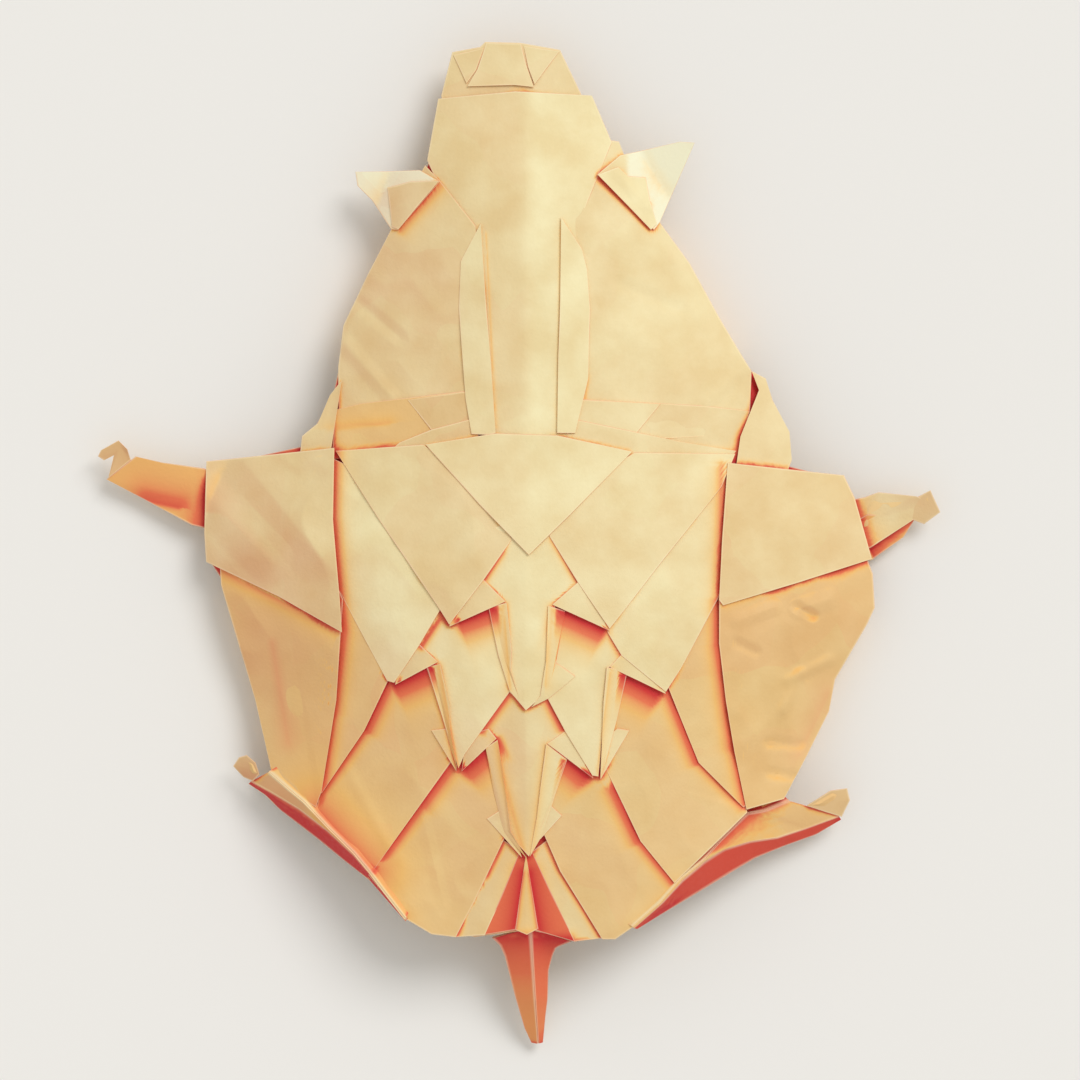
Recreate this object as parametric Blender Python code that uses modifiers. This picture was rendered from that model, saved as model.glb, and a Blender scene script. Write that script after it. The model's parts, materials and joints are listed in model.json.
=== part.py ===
"""An origami boar, folded from one square sheet, lying on its belly with its legs spread.

The plan runs with +Y towards the snout and +X to the right, seen from above, in millimetres
until the mesh is built. The sheet follows a shallow dome. Every visible fold is a leaf: an
outline on that dome whose corners carry a level, counted in layers above the dome. A leaf's
free edge is a real fold: the paper turns back under it, inwards and down to the layers below,
and those layers lie pressed on one another.
"""

import bmesh
import bpy
import numpy as np
from mathutils import Vector
from mathutils.geometry import intersect_point_line

# Driving sizes, in millimetres
SHEET = 0.6            # thickness of the pressed paper where nothing lies on it
LAYER = 0.7            # rise of one layer over the one below it
TURN_BACK = 2.5        # how far the paper turns back under a free edge
TURN_DROP = 2.4        # how far down it goes there, in layers
NARROW_SHARE = 0.4     # the most of the way to its middle that a narrow leaf turns back
FACET = 12.0           # longest edge left in a leaf before it is divided
TUCKED = -2.0          # level of an edge that is hidden in the sheet below, in layers
LINING = -2.0          # level of the continuous sheet under all the folds, in layers
BACK_LINE = 1.4        # the middle of the back, to the right of the frame's Y axis
HEM_LEAN = 2.0         # how far a hem leans in on its way down to the table
HEM_WIDTH = 7.0        # width of the flat part of a hem, which the boar rests on

# The dome, from snout to rump: place along Y, ridge height, rim height, half width left and right
DOME = (
    (106.0, 8.5, 7.5, 14.0, 14.0),
    (89.0, 11.0, 8.5, 20.0, 18.0),
    (77.0, 14.0, 8.0, 26.0, 24.0),
    (63.0, 16.5, 7.0, 32.0, 33.0),
    (44.0, 18.5, 5.5, 42.0, 46.0),
    (30.0, 19.5, 5.0, 51.0, 57.0),
    (16.0, 21.0, 5.0, 60.0, 64.0),
    (0.0, 23.0, 5.5, 65.0, 70.0),
    (-14.0, 24.0, 5.5, 62.0, 71.0),
    (-30.0, 23.5, 5.5, 56.0, 64.0),
    (-46.0, 21.5, 8.0, 52.0, 58.0),
    (-60.0, 19.0, 12.5, 46.0, 52.0),
    (-72.0, 17.0, 15.0, 38.0, 42.0),
    (-84.0, 15.5, 15.0, 30.0, 34.0),
)

# The lining: the outline of head, neck and body, all round
LINING_OUTLINE = (
    (-15.6, 88.0), (-18.2, 76.0), (-25.0, 63.0), (-30.0, 53.8), (-34.8, 43.8), (-36.0, 35.4),
    (-37.2, 29.8), (-43.0, 19.6), (-61.8, 15.6), (-62.4, -3.0), (-58.8, -8.4), (-54.4, -23.2),
    (-52.2, -31.2), (-48.6, -44.8), (-42.4, -51.0), (-32.6, -61.0), (-22.6, -73.8), (-17.2, -77.0),
    (-8.8, -78.4), (1.6, -77.0), (12.2, -78.8), (19.0, -78.0), (23.2, -75.2), (32.0, -66.0),
    (40.0, -58.6), (45.2, -53.2), (52.2, -51.0), (57.0, -42.2), (61.4, -33.6), (62.8, -27.2),
    (69.0, -16.2), (70.6, -6.0), (66.6, 9.0), (64.2, 13.0), (54.0, 15.6), (53.4, 22.2),
    (49.0, 32.4), (44.6, 36.6), (39.6, 45.2), (33.6, 56.0), (27.6, 64.0), (19.6, 77.2),
    (17.4, 80.4), (14.0, 88.4),
)

# Leaves, front over rear and outer over inner: corners as (x, y, level), free edge first. HIDDEN
# stands where the free edge ends; an outline without it is free all round
HIDDEN = None
SNOUT = ((-15.6, 89.8, -1.0), (-13.4, 98.6, -1.0), (-7.8, 99.6, -0.5), (-6.8, 100.6, -0.5),
         (0.2, 100.4, -0.5), (8.2, 99.0, -1.0), (12.4, 90.2, -1.0), HIDDEN, (13.0, 84.0, TUCKED),
         (-14.6, 84.0, TUCKED))
SNOUT_DISC = ((-8.4, 95.0, 0.2), (-10.4, 91.6, 0.8), (-0.8, 91.8, 1.2), (3.0, 91.4, 0.8),
              (1.6, 95.6, 0.2), HIDDEN, (0.4, 100.2, -0.2), (-6.6, 100.4, -0.2))
FOREHEAD = ((18.6, 80.4, 0.0), (14.6, 89.8, 1.0), (-0.8, 90.6, 1.2), (-16.2, 89.2, 1.0),
            (-18.4, 76.8, 0.0), HIDDEN, (-12.0, 62.0, -1.0), (-9.0, 44.0, -1.4), (-7.0, 20.0, -1.4),
            (1.4, 20.0, -0.8), (10.0, 20.0, -1.4), (10.6, 44.0, -1.4), (12.0, 64.0, -1.0))
CHEEK_LEFT = ((-36.2, 35.4, 0.2), (-35.2, 43.8, 0.2), (-30.4, 53.8, 0.2), (-25.6, 63.0, 0.2),
              (-18.8, 75.8, 0.8), (-15.8, 72.6, 1.2), HIDDEN, (-8.6, 63.4, 1.2), (-8.2, 48.8, 1.2),
              (-7.4, 22.0, 1.0), (-14.0, 20.0, -1.6), (-36.0, 22.0, -1.6))
CHEEK_RIGHT = ((9.4, 22.0, 1.0), (9.6, 48.8, 1.2), (9.4, 64.6, 1.2), (15.6, 73.8, 1.2), (20.2, 77.8, 0.8),
               (28.2, 64.4, 0.2), (34.2, 56.2, 0.2), (40.2, 45.2, 0.2), (45.2, 36.8, 0.2),
               (46.6, 34.6, 0.2), HIDDEN, (46.0, 22.0, -1.6), (14.0, 20.0, -1.6))
LAPEL_LEFT = ((-9.4, 21.8, 2.2), (-5.8, 21.6, 3.0), (-4.6, 22.0, 3.2), (-5.6, 36.8, 3.2),
              (-6.6, 48.8, 3.2), (-7.6, 64.0, 2.8), HIDDEN, (-11.6, 56.4, 1.4), (-12.0, 46.8, 1.0),
              (-10.6, 28.8, 1.2))
LAPEL_RIGHT = ((8.4, 65.2, 2.8), (8.2, 48.8, 3.2), (7.8, 36.8, 3.2), (7.6, 22.0, 3.2), (11.2, 22.0, 2.2),
               HIDDEN, (13.8, 32.8, 1.2), (14.2, 46.8, 1.0), (13.6, 54.8, 1.2), (12.6, 58.8, 1.6))
EAR_LEFT = ((-32.4, 71.8, 2.4), (-29.4, 68.8, 2.4), (-25.6, 63.0, 2.4), (-24.2, 62.8, 2.8),
            (-15.8, 72.4, 3.2), (-19.8, 74.8, 2.6), HIDDEN, (-32.8, 74.6, 2.4))
EAR_RIGHT = ((20.2, 77.8, 2.6), (15.6, 73.8, 3.2), (27.0, 62.8, 2.8), (28.2, 64.4, 2.4), HIDDEN,
             (35.2, 80.4, 2.4), (32.2, 80.6, 2.4))
NECK_FRONT = ((46.2, 26.6, 0.8), (37.0, 27.6, 0.8), (13.2, 28.8, 0.8), (-11.2, 30.4, 0.8),
              (-31.8, 28.0, 0.8), (-36.8, 26.8, 0.8), HIDDEN, (-37.4, 17.0, TUCKED), (43.6, 16.0, TUCKED))
NECK_REAR = ((43.4, 18.6, 1.6), (32.2, 20.4, 1.6), (12.2, 24.6, 1.6), (-9.8, 24.8, 1.6),
             (-17.4, 22.8, 1.6), (-23.8, 20.2, 1.6), HIDDEN, (-35.0, 10.0, TUCKED), (38.0, 10.0, TUCKED))
NECK_SIDE_LEFT = ((-43.8, 18.0, 1.0), (-43.4, 21.6, 1.4), (-40.2, 24.2, 1.4), (-37.8, 29.8, 1.4),
                  (-35.4, 32.8, 1.0), (-37.6, 18.0, 2.2), HIDDEN, (-40.0, 13.0, TUCKED))
NECK_SIDE_RIGHT = ((44.2, 21.4, 2.2), (48.0, 30.8, 1.8), (46.6, 34.6, 1.2), (49.4, 33.2, 1.4),
                   (50.8, 28.8, 1.4), (54.2, 22.4, 1.4), (54.6, 16.8, 1.4), HIDDEN, (52.0, 10.0, TUCKED),
                   (42.8, 12.0, TUCKED))

COLLAR = ((22.6, 18.4, 4.2), (7.6, 21.6, 4.6), (-4.6, 22.0, 4.6), (-18.6, 19.8, 4.2), (-7.8, 7.8, 5.0),
          (2.0, -2.2, 5.4), (10.2, 5.8, 5.0))
TILE_1_LEFT = ((-19.0, 19.8, 3.0), (-36.6, 18.6, 2.8), (-27.8, 4.8, 3.2), (-15.8, -12.8, 4.0),
               (-13.8, -16.0, 4.4), (-7.0, -7.2, 4.0), (-1.4, 0.8, 3.2), HIDDEN, (-4.0, 9.0, 1.0))
TILE_1_RIGHT = ((6.0, 1.6, 3.2), (11.8, -7.8, 4.0), (18.0, -16.8, 4.4), (21.2, -12.8, 4.0),
                (28.2, -3.8, 3.6), (40.4, 11.4, 2.8), (43.2, 18.0, 2.8), (23.0, 18.2, 3.0), HIDDEN,
                (7.4, 9.0, 1.0))
TILE_2_LEFT = ((-35.4, -10.2, 1.6), (-26.2, -27.2, 2.8), (-24.8, -27.6, 3.2), (-19.8, -20.2, 2.8),
               (-15.4, -12.8, 2.0), HIDDEN, (-20.0, 2.0, TUCKED), (-36.2, 16.0, 0.8))
TILE_2_RIGHT = ((17.6, -17.6, 2.0), (20.4, -22.2, 2.8), (29.2, -29.4, 3.2), (32.2, -24.8, 2.8),
                (39.6, -14.8, 1.6), HIDDEN, (41.4, 12.0, 0.8), (22.0, 2.0, TUCKED))
TILE_2_MIDDLE = ((6.2, -12.4, 1.6), (7.4, -23.6, 1.8), (5.6, -29.4, 2.4), (1.4, -33.0, 2.8),
                 (-1.8, -29.2, 2.4), (-4.0, -22.2, 1.8), (-6.0, -12.8, 1.6), HIDDEN, (-6.0, 0.0, -1.0),
                 (1.4, 6.0, TUCKED), (9.0, 0.0, -1.0))
BAND_2_LEFT = ((0.4, -31.6, 3.4), (-1.6, -25.2, 4.4), (-1.4, -21.2, 4.6), (-2.4, -11.6, 4.2), HIDDEN,
               (-6.0, -12.4, 1.8), (-4.2, -22.2, 1.2), (-1.8, -29.4, 1.8))
BAND_2_RIGHT = ((5.8, -12.2, 4.2), (5.4, -23.2, 4.6), (4.2, -30.2, 4.0), (2.4, -32.4, 3.4), HIDDEN,
                (6.0, -30.6, 2.6), (11.2, -26.2, 2.4), (7.4, -23.4, 1.2), (9.2, -13.2, 1.8))
TILE_3_LEFT = ((-6.2, -28.0, 1.2), (-6.2, -36.8, 1.8), (-10.2, -42.6, 2.2), (-12.0, -44.6, 2.4), HIDDEN,
               (-18.0, -24.8, 0.2), (-14.0, -12.0, TUCKED), (-4.0, -12.0, TUCKED))
BAND_3_LEFT = ((-12.2, -44.8, 3.2), (-13.6, -37.2, 4.0), (-13.8, -31.8, 4.0), (-15.6, -23.8, 3.6), HIDDEN,
               (-18.4, -24.4, 1.0), (-15.8, -32.2, 0.4), (-13.6, -40.4, 1.2))
TILE_3_RIGHT = ((17.8, -24.6, 0.2), (15.8, -46.2, 2.4), (14.6, -46.0, 2.2), (9.2, -37.2, 1.8),
                (6.2, -30.6, 1.2), HIDDEN, (8.0, -12.0, TUCKED), (18.0, -12.0, TUCKED))
BAND_3_RIGHT = ((17.4, -24.4, 3.6), (16.8, -31.2, 4.0), (16.2, -46.4, 3.2), HIDDEN, (17.0, -44.2, 1.6),
                (19.4, -35.2, 0.4), (21.6, -25.2, 1.0))
TILE_4 = ((9.4, -42.6, -0.4), (6.6, -51.2, 0.4), (2.0, -62.2, 1.8), (-2.8, -57.0, 0.6),
          (-6.2, -40.2, -0.4), HIDDEN, (-7.0, -28.0, TUCKED), (10.0, -28.0, TUCKED))
BAND_4_LEFT = ((1.6, -62.6, 2.6), (-1.6, -57.2, 3.2), (-3.2, -45.2, 3.2), (-4.2, -38.8, 2.8), HIDDEN,
               (-6.6, -40.4, 0.4), (-5.0, -49.2, -0.4), (-3.0, -57.4, 0.2))
BAND_4_RIGHT = ((5.4, -39.6, 2.8), (4.4, -47.2, 3.2), (3.6, -54.2, 3.2), (2.2, -62.2, 2.6), HIDDEN,
                (4.4, -58.4, 0.2), (6.8, -51.2, -0.4), (9.6, -42.8, 0.4))
TURNED_1_LEFT = ((-13.8, -16.4, 3.4), (-2.6, -11.4, 3.6), (-7.0, -7.0, 3.0), HIDDEN, (-12.0, -9.0, 1.0))
TURNED_1_RIGHT = ((11.6, -7.6, 3.0), (6.6, -12.0, 3.6), (18.0, -17.2, 3.4), HIDDEN, (17.0, -9.0, 1.0))
TURNED_2_LEFT = ((-24.6, -28.0, 2.4), (-16.0, -23.4, 2.6), (-19.6, -20.0, 2.0), HIDDEN,
                 (-24.0, -21.0, 0.4))
TURNED_2_RIGHT = ((20.2, -22.0, 2.0), (18.0, -24.4, 2.6), (29.2, -29.8, 2.4), HIDDEN, (27.0, -22.0, 0.4))
TURNED_3_LEFT = ((-11.4, -45.2, 1.6), (-4.4, -38.6, 1.8), (-6.0, -36.6, 1.2), HIDDEN, (-10.5, -38.0, 0.0))
TURNED_3_RIGHT = ((9.0, -37.2, 1.2), (5.6, -39.6, 1.8), (14.8, -46.6, 1.6), HIDDEN, (13.0, -38.0, 0.0))
EARLET_3_LEFT = ((-12.4, -45.2, 1.6), (-17.4, -37.0, 1.0), (-14.4, -36.6, 1.0), HIDDEN,
                 (-12.5, -39.0, -1.0))
EARLET_3_RIGHT = ((19.6, -36.6, 1.0), (22.0, -37.0, 1.0), (16.2, -46.8, 1.6), HIDDEN, (16.2, -39.0, -1.0))
EARLET_4_LEFT = ((0.6, -62.4, 1.2), (-6.4, -54.6, 0.6), (-3.6, -52.8, 0.6), HIDDEN, (-1.5, -55.0, -1.2))
EARLET_4_RIGHT = ((5.8, -51.4, 0.6), (8.6, -54.0, 0.6), (4.0, -59.0, 1.0), HIDDEN, (3.8, -54.0, -1.2))

SHOULDER_LEFT = ((-36.8, 19.2, 3.8), (-62.8, 16.6, 2.0), (-63.2, 2.2, 1.8), (-62.8, -3.6, 2.0),
                 (-47.8, -10.6, 3.4), (-35.2, -17.6, 4.4), (-35.6, -11.2, 4.4), (-37.0, 4.8, 4.2))
SHOULDER_RIGHT = ((39.8, -11.2, 4.4), (40.6, -12.2, 4.4), (56.2, -7.6, 3.4), (70.8, -3.0, 2.0),
                  (67.4, 9.2, 1.8), (65.2, 13.8, 2.0), (41.8, 16.2, 3.8), (40.6, 0.8, 4.2))
FLANK_LEFT = ((-35.0, -11.0, 1.4), (-36.4, -31.2, 2.6), (-39.6, -50.2, 2.2), (-43.0, -51.0, 1.6),
              (-49.0, -45.8, 1.0), (-53.0, -31.2, 0.6), (-59.8, -8.2, 0.6), HIDDEN, (-60.4, 2.0, -1.0),
              (-40.0, 0.0, TUCKED))
FLANK_RIGHT = ((71.0, -6.0, 0.4), (71.4, -12.8, 0.6), (69.8, -16.2, 0.6), (63.4, -27.2, 0.6),
               (62.2, -33.6, 0.6), (57.8, -42.2, 0.8), (53.0, -51.0, 1.2), (45.4, -53.0, 2.2),
               (43.8, -41.2, 2.6), (42.2, -31.2, 2.6), (40.2, -10.0, 1.4), HIDDEN, (44.0, 0.0, TUCKED),
               (68.0, 2.0, -1.0))

RUMP_A_LEFT = ((-25.6, -26.4, 1.2), (-30.8, -37.2, 1.5), (-39.4, -49.8, 1.5), HIDDEN,
               (-37.6, -42.0, -0.8), (-35.4, -16.0, -1.6))
RUMP_A_RIGHT = ((44.8, -52.6, 1.5), (35.8, -43.6, 1.5), (29.6, -28.4, 1.2), HIDDEN, (40.4, -16.0, -1.6),
                (44.0, -44.0, -0.8))
RUMP_B_LEFT = ((-13.2, -43.0, 0.4), (-19.8, -52.2, 0.8), (-29.4, -65.6, 1.6), (-40.6, -53.8, 1.6), HIDDEN,
               (-39.8, -49.0, -0.6), (-31.6, -36.0, -0.8), (-25.0, -24.0, -1.6))
RUMP_B_RIGHT = ((45.6, -53.6, 1.6), (31.0, -67.6, 1.6), (24.2, -59.2, 0.8), (17.2, -44.6, 0.4), HIDDEN,
                (29.0, -26.0, -1.6), (36.6, -42.0, -0.8), (45.0, -51.6, -0.6))
RUMP_C_LEFT = ((-2.4, -57.6, -0.4), (-8.8, -71.2, -0.1), (-12.6, -78.4, 1.0), (-17.4, -77.8, 1.6),
               (-22.8, -74.6, 1.6), (-30.0, -66.0, 1.3), HIDDEN, (-20.6, -51.0, -1.4),
               (-14.0, -41.0, -2.0))
RUMP_C_RIGHT = ((31.6, -67.8, 1.3), (23.6, -75.8, 1.6), (19.2, -78.8, 1.6), (16.6, -78.8, 1.0),
                (8.2, -65.2, -0.1), (4.8, -57.4, -0.4), HIDDEN, (18.0, -43.0, -2.0), (25.2, -58.0, -1.4))
TAIL_ROOT = ((-12.0, -78.4, 0.2), (-8.4, -79.2, 0.3), (-2.4, -77.0, -1.0), (1.6, -77.8, 0.2),
             (5.4, -76.6, -1.0), (11.8, -79.4, 0.3), (16.0, -78.8, 0.2), HIDDEN, (7.0, -60.0, -1.6),
             (1.8, -62.0, -1.2), (-4.4, -60.0, -1.6))

# Legs and tail: corners as (x, y, height of the sheet's middle above the table)
LEG_FRONT_LEFT = ((-58.0, 12.0, 4.8), (-63.2, 15.2, 5.4), (-71.8, 16.4, 6.0), (-77.0, 17.6, 6.0),
                  (-83.0, 13.0, 4.4), (-75.8, 9.2, 4.0), (-65.8, 3.8, 4.4), (-58.0, 2.0, 4.8))
HOOF_FRONT_LEFT = ((-79.6, 17.2, 5.4), (-84.6, 17.2, 5.8), (-84.6, 18.4, 6.2), (-80.2, 20.8, 6.6),
                   (-78.2, 18.8, 6.6), (-76.6, 14.0, 4.6), (-82.6, 13.4, 4.9))
LEG_FRONT_RIGHT = ((62.0, 8.0, 5.0), (69.4, 9.4, 5.4), (72.2, 10.4, 6.0), (79.8, 9.6, 6.0),
                   (83.0, 8.4, 5.0), (79.8, 5.2, 4.6), (70.6, -0.8, 5.0), (62.0, -2.0, 5.0))
LEG_UNDER_RIGHT = ((63.0, 2.0, 4.6), (70.0, 6.0, 5.6), (79.6, 5.0, 3.8), (77.4, 1.4, 3.0),
                   (71.0, -3.2, 3.2), (63.0, -4.0, 4.4))
HOOF_FRONT_RIGHT = ((78.8, 8.8, 5.2), (82.6, 10.8, 6.2), (84.6, 6.4, 5.8), (81.4, 4.0, 4.8),
                    (77.6, 5.4, 4.4))
LEG_HIND_LEFT = ((-44.0, -44.0, 9.0), (-49.0, -46.2, 10.2), (-42.8, -51.8, 13.6), (-32.8, -61.8, 17.0),
                 (-22.8, -74.8, 17.8), (-20.0, -73.0, 14.6), (-29.8, -66.8, 12.0), (-39.8, -59.2, 8.4),
                 (-47.8, -53.2, 6.0), (-54.2, -48.0, 4.6), (-52.6, -45.6, 6.6))
HOOF_HIND_LEFT = ((-47.0, -46.4, 10.2), (-51.0, -46.0, 8.6), (-53.2, -43.8, 7.6), (-54.8, -42.6, 7.8),
                  (-57.4, -44.8, 6.6), (-54.4, -48.4, 4.2), (-49.8, -49.0, 7.4))
LEG_HIND_RIGHT = ((52.0, -47.0, 9.0), (57.8, -52.0, 9.0), (64.6, -55.0, 4.6), (57.8, -58.2, 5.0),
                  (47.2, -62.8, 8.0), (36.2, -69.2, 11.4), (25.0, -72.6, 14.6), (24.0, -75.6, 17.6),
                  (32.2, -66.8, 17.0), (40.2, -59.4, 14.2), (46.2, -54.2, 12.6), (50.0, -51.0, 11.2))
HOOF_HIND_RIGHT = ((55.0, -51.0, 9.4), (61.2, -49.4, 8.2), (65.8, -49.0, 6.8), (66.4, -51.4, 6.2),
                   (64.6, -55.4, 4.2), (57.0, -54.4, 8.2))
TAIL_LEFT = ((2.2, -74.0, 16.3), (-5.2, -78.4, 14.0), (-2.8, -82.2, 11.6), (-0.8, -90.2, 7.6),
             (2.4, -100.2, 2.2), (3.8, -100.5, 2.6), (3.2, -91.2, 8.8), (2.4, -78.2, 14.8))
TAIL_RIGHT = ((2.2, -74.0, 16.3), (2.4, -78.2, 14.8), (3.2, -91.2, 8.8), (3.8, -100.5, 2.6),
              (4.6, -100.0, 2.2), (5.6, -91.2, 7.6), (6.6, -82.2, 11.6), (10.4, -79.0, 14.0))

# Hems: the top line under the rim, which the table carries through the flat strip below
HEM_CHEEK_LEFT = ((-24.0, 61.0), (-29.0, 52.0), (-33.6, 43.0), (-34.8, 36.0))
HEM_CHEEK_RIGHT = ((26.6, 62.0), (32.6, 54.4), (38.4, 44.4), (43.2, 36.4))
HEM_FLANK_LEFT = ((-57.4, -9.0), (-53.0, -23.2), (-51.0, -31.2), (-47.6, -43.6))
HEM_FLANK_RIGHT = ((68.8, -14.0), (61.8, -26.0), (60.0, -33.0), (55.6, -42.6))

PAPER_COLOUR = (0.83, 0.66, 0.38, 1.0)
MM = 0.001
ON_LINE = 0.001        # how near a point is to a line that it lies on, in millimetres


def along(places, values, y):
    """A smooth curve through the stations: between each two a cubic, with their neighbours' slopes."""
    slopes = np.gradient(values, places)
    i = int(np.clip(np.searchsorted(places, y) - 1, 0, len(places) - 2))
    span = places[i + 1] - places[i]
    t = float(np.clip((y - places[i]) / span, 0.0, 1.0))
    start = (1 + 2 * t) * (1 - t) ** 2 * values[i] + t * (1 - t) ** 2 * span * slopes[i]
    end = t * t * (3 - 2 * t) * values[i + 1] + t * t * (t - 1) * span * slopes[i + 1]
    return start + end


STATIONS = np.array(DOME[::-1]).T


def dome(x, y):
    """Height of the dome: the rim, plus a parabola that reaches the ridge height on the back line."""
    ridge, rim, left, right = (along(STATIONS[0], row, y) for row in STATIONS[1:])
    across = min(abs(x - BACK_LINE) / (left if x < BACK_LINE else right), 1.0)
    return rim + (ridge - rim) * (1.0 - across ** 2)


def divided(corners):
    """A flat outline as triangles with no edge longer than FACET; the third number is carried along."""
    bm = bmesh.new()
    bm.faces.new([bm.verts.new(corner) for corner in corners])
    bmesh.ops.triangulate(bm, faces=bm.faces[:])
    for _ in range(5):
        long_edges = [edge for edge in bm.edges if edge.calc_length() > FACET]
        if not long_edges:
            break
        bmesh.ops.subdivide_edges(bm, edges=long_edges, cuts=1)
        bmesh.ops.triangulate(bm, faces=bm.faces[:])
    bmesh.ops.recalc_face_normals(bm, faces=bm.faces[:])
    if bm.faces[:][0].normal.z < 0:
        bmesh.ops.reverse_faces(bm, faces=bm.faces[:])
    return bm


def piece_of(name, bm, collection):
    """A mesh worked out in millimetres as an object in metres."""
    for vert in bm.verts:
        vert.co *= MM
    mesh = bpy.data.meshes.new(name)
    bm.to_mesh(mesh)
    bm.free()
    piece = bpy.data.objects.new(name, mesh)
    collection.objects.link(piece)
    return piece


def plate(name, bm, collection):
    """The surface as a plate SHEET thick, half of it to each side."""
    piece = piece_of(name, bm, collection)
    thick = piece.modifiers.new("thickness", "SOLIDIFY")
    thick.thickness = SHEET * MM
    thick.offset = 0.0
    return piece


def lies_on(point, line):
    """True where a point of the plan lies on a line of corners."""
    for start, end in zip(line, line[1:]):
        foot, share = intersect_point_line(point, Vector(start[:2]), Vector(end[:2]))
        if -ON_LINE < share < 1.0 + ON_LINE and (foot - point).length < ON_LINE:
            return True
    return False


def leaf(name, outline, collection):
    """A fold on the dome, over layers that fill the space down to the lining.

    Its top lies at its levels. From a free edge its underside draws in and down.
    """
    corners = [corner for corner in outline if corner is not HIDDEN]
    free_line = outline[:outline.index(HIDDEN)] if HIDDEN in outline else corners + corners[:1]
    bm = divided(corners)
    top = bm.verts[:]
    faces = bm.faces[:]
    rim = [edge for edge in bm.edges if edge.is_boundary]
    middle = Vector(np.mean([corner[:2] for corner in corners], axis=0))
    under = {}
    for vert in top:
        spot = vert.co.xy
        level = vert.co.z
        vert.co.z = dome(*spot) + level * LAYER
        under_level = TUCKED
        if lies_on(spot, free_line):
            inwards = middle - spot
            spot = spot + inwards.normalized() * min(TURN_BACK, inwards.length * NARROW_SHARE)
            under_level = max(TUCKED, level - TURN_DROP)
        low = dome(*spot) + under_level * LAYER
        under[vert] = bm.verts.new((*spot, min(low, vert.co.z - SHEET)))
    walls = []
    for edge in rim:
        loop = edge.link_loops[0]
        start = loop.vert
        end = loop.link_loop_next.vert
        walls.append((start, under[start], under[end], end))
    for face in faces:
        bm.faces.new([under[vert] for vert in reversed(face.verts)])
    for wall in walls:
        bm.faces.new(wall)
    return piece_of(name, bm, collection)


def strip_between(first, second):
    """Two lines of equal count joined by triangles."""
    bm = bmesh.new()
    a = [bm.verts.new(p) for p in first]
    b = [bm.verts.new(p) for p in second]
    for i in range(len(a) - 1):
        bm.faces.new((a[i], a[i + 1], b[i + 1]))
        bm.faces.new((a[i], b[i + 1], b[i]))
    return bm


def hem(name, line, side, collection):
    """The sheet's margin, folded down from the rim to the table and flat along it, towards the middle."""
    top = [(x, y, dome(x, y) + LINING * LAYER) for x, y in line]
    foot = [(x + side * HEM_LEAN, y, SHEET / 2) for x, y in line]
    inner = [(x + side * (HEM_LEAN + HEM_WIDTH), y, SHEET / 2) for x, y in line]
    plate(name + "_wall", strip_between(top, foot), collection)
    plate(name + "_sole", strip_between(foot, inner), collection)


def paper(name, colour):
    material = bpy.data.materials.new(name)
    material.use_nodes = True
    shader = material.node_tree.nodes["Principled BSDF"]
    shader.inputs["Base Color"].default_value = colour
    shader.inputs["Roughness"].default_value = 0.75
    shader.inputs["Metallic"].default_value = 0.0
    return material


def islands(bm):
    """The closed surfaces in a mesh that don't touch one another, each as a list of faces."""
    left = set(bm.faces)
    while left:
        found = []
        waiting = [left.pop()]
        while waiting:
            face = waiting.pop()
            found.append(face)
            for edge in face.edges:
                for other in edge.link_faces:
                    if other in left:
                        left.discard(other)
                        waiting.append(other)
        yield found


def enclosed(faces):
    """Volume inside a closed surface of triangles, below zero if the surface bounds a hollow."""
    return sum(f.verts[0].co.dot(f.verts[1].co.cross(f.verts[2].co)) for f in faces) / 6.0


def pressed_flat(mesh):
    """Fills the hollows that the union has sealed between leaves: there the layers lie pressed together."""
    bm = bmesh.new()
    bm.from_mesh(mesh)
    bmesh.ops.triangulate(bm, faces=bm.faces[:])
    hollows = [faces for faces in islands(bm) if enclosed(faces) < 0.0]
    bmesh.ops.delete(bm, geom=[face for faces in hollows for face in faces], context="FACES")
    bm.to_mesh(mesh)
    bm.free()


def new_collection(name):
    collection = bpy.data.collections.new(name)
    bpy.context.scene.collection.children.link(collection)
    return collection


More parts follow.
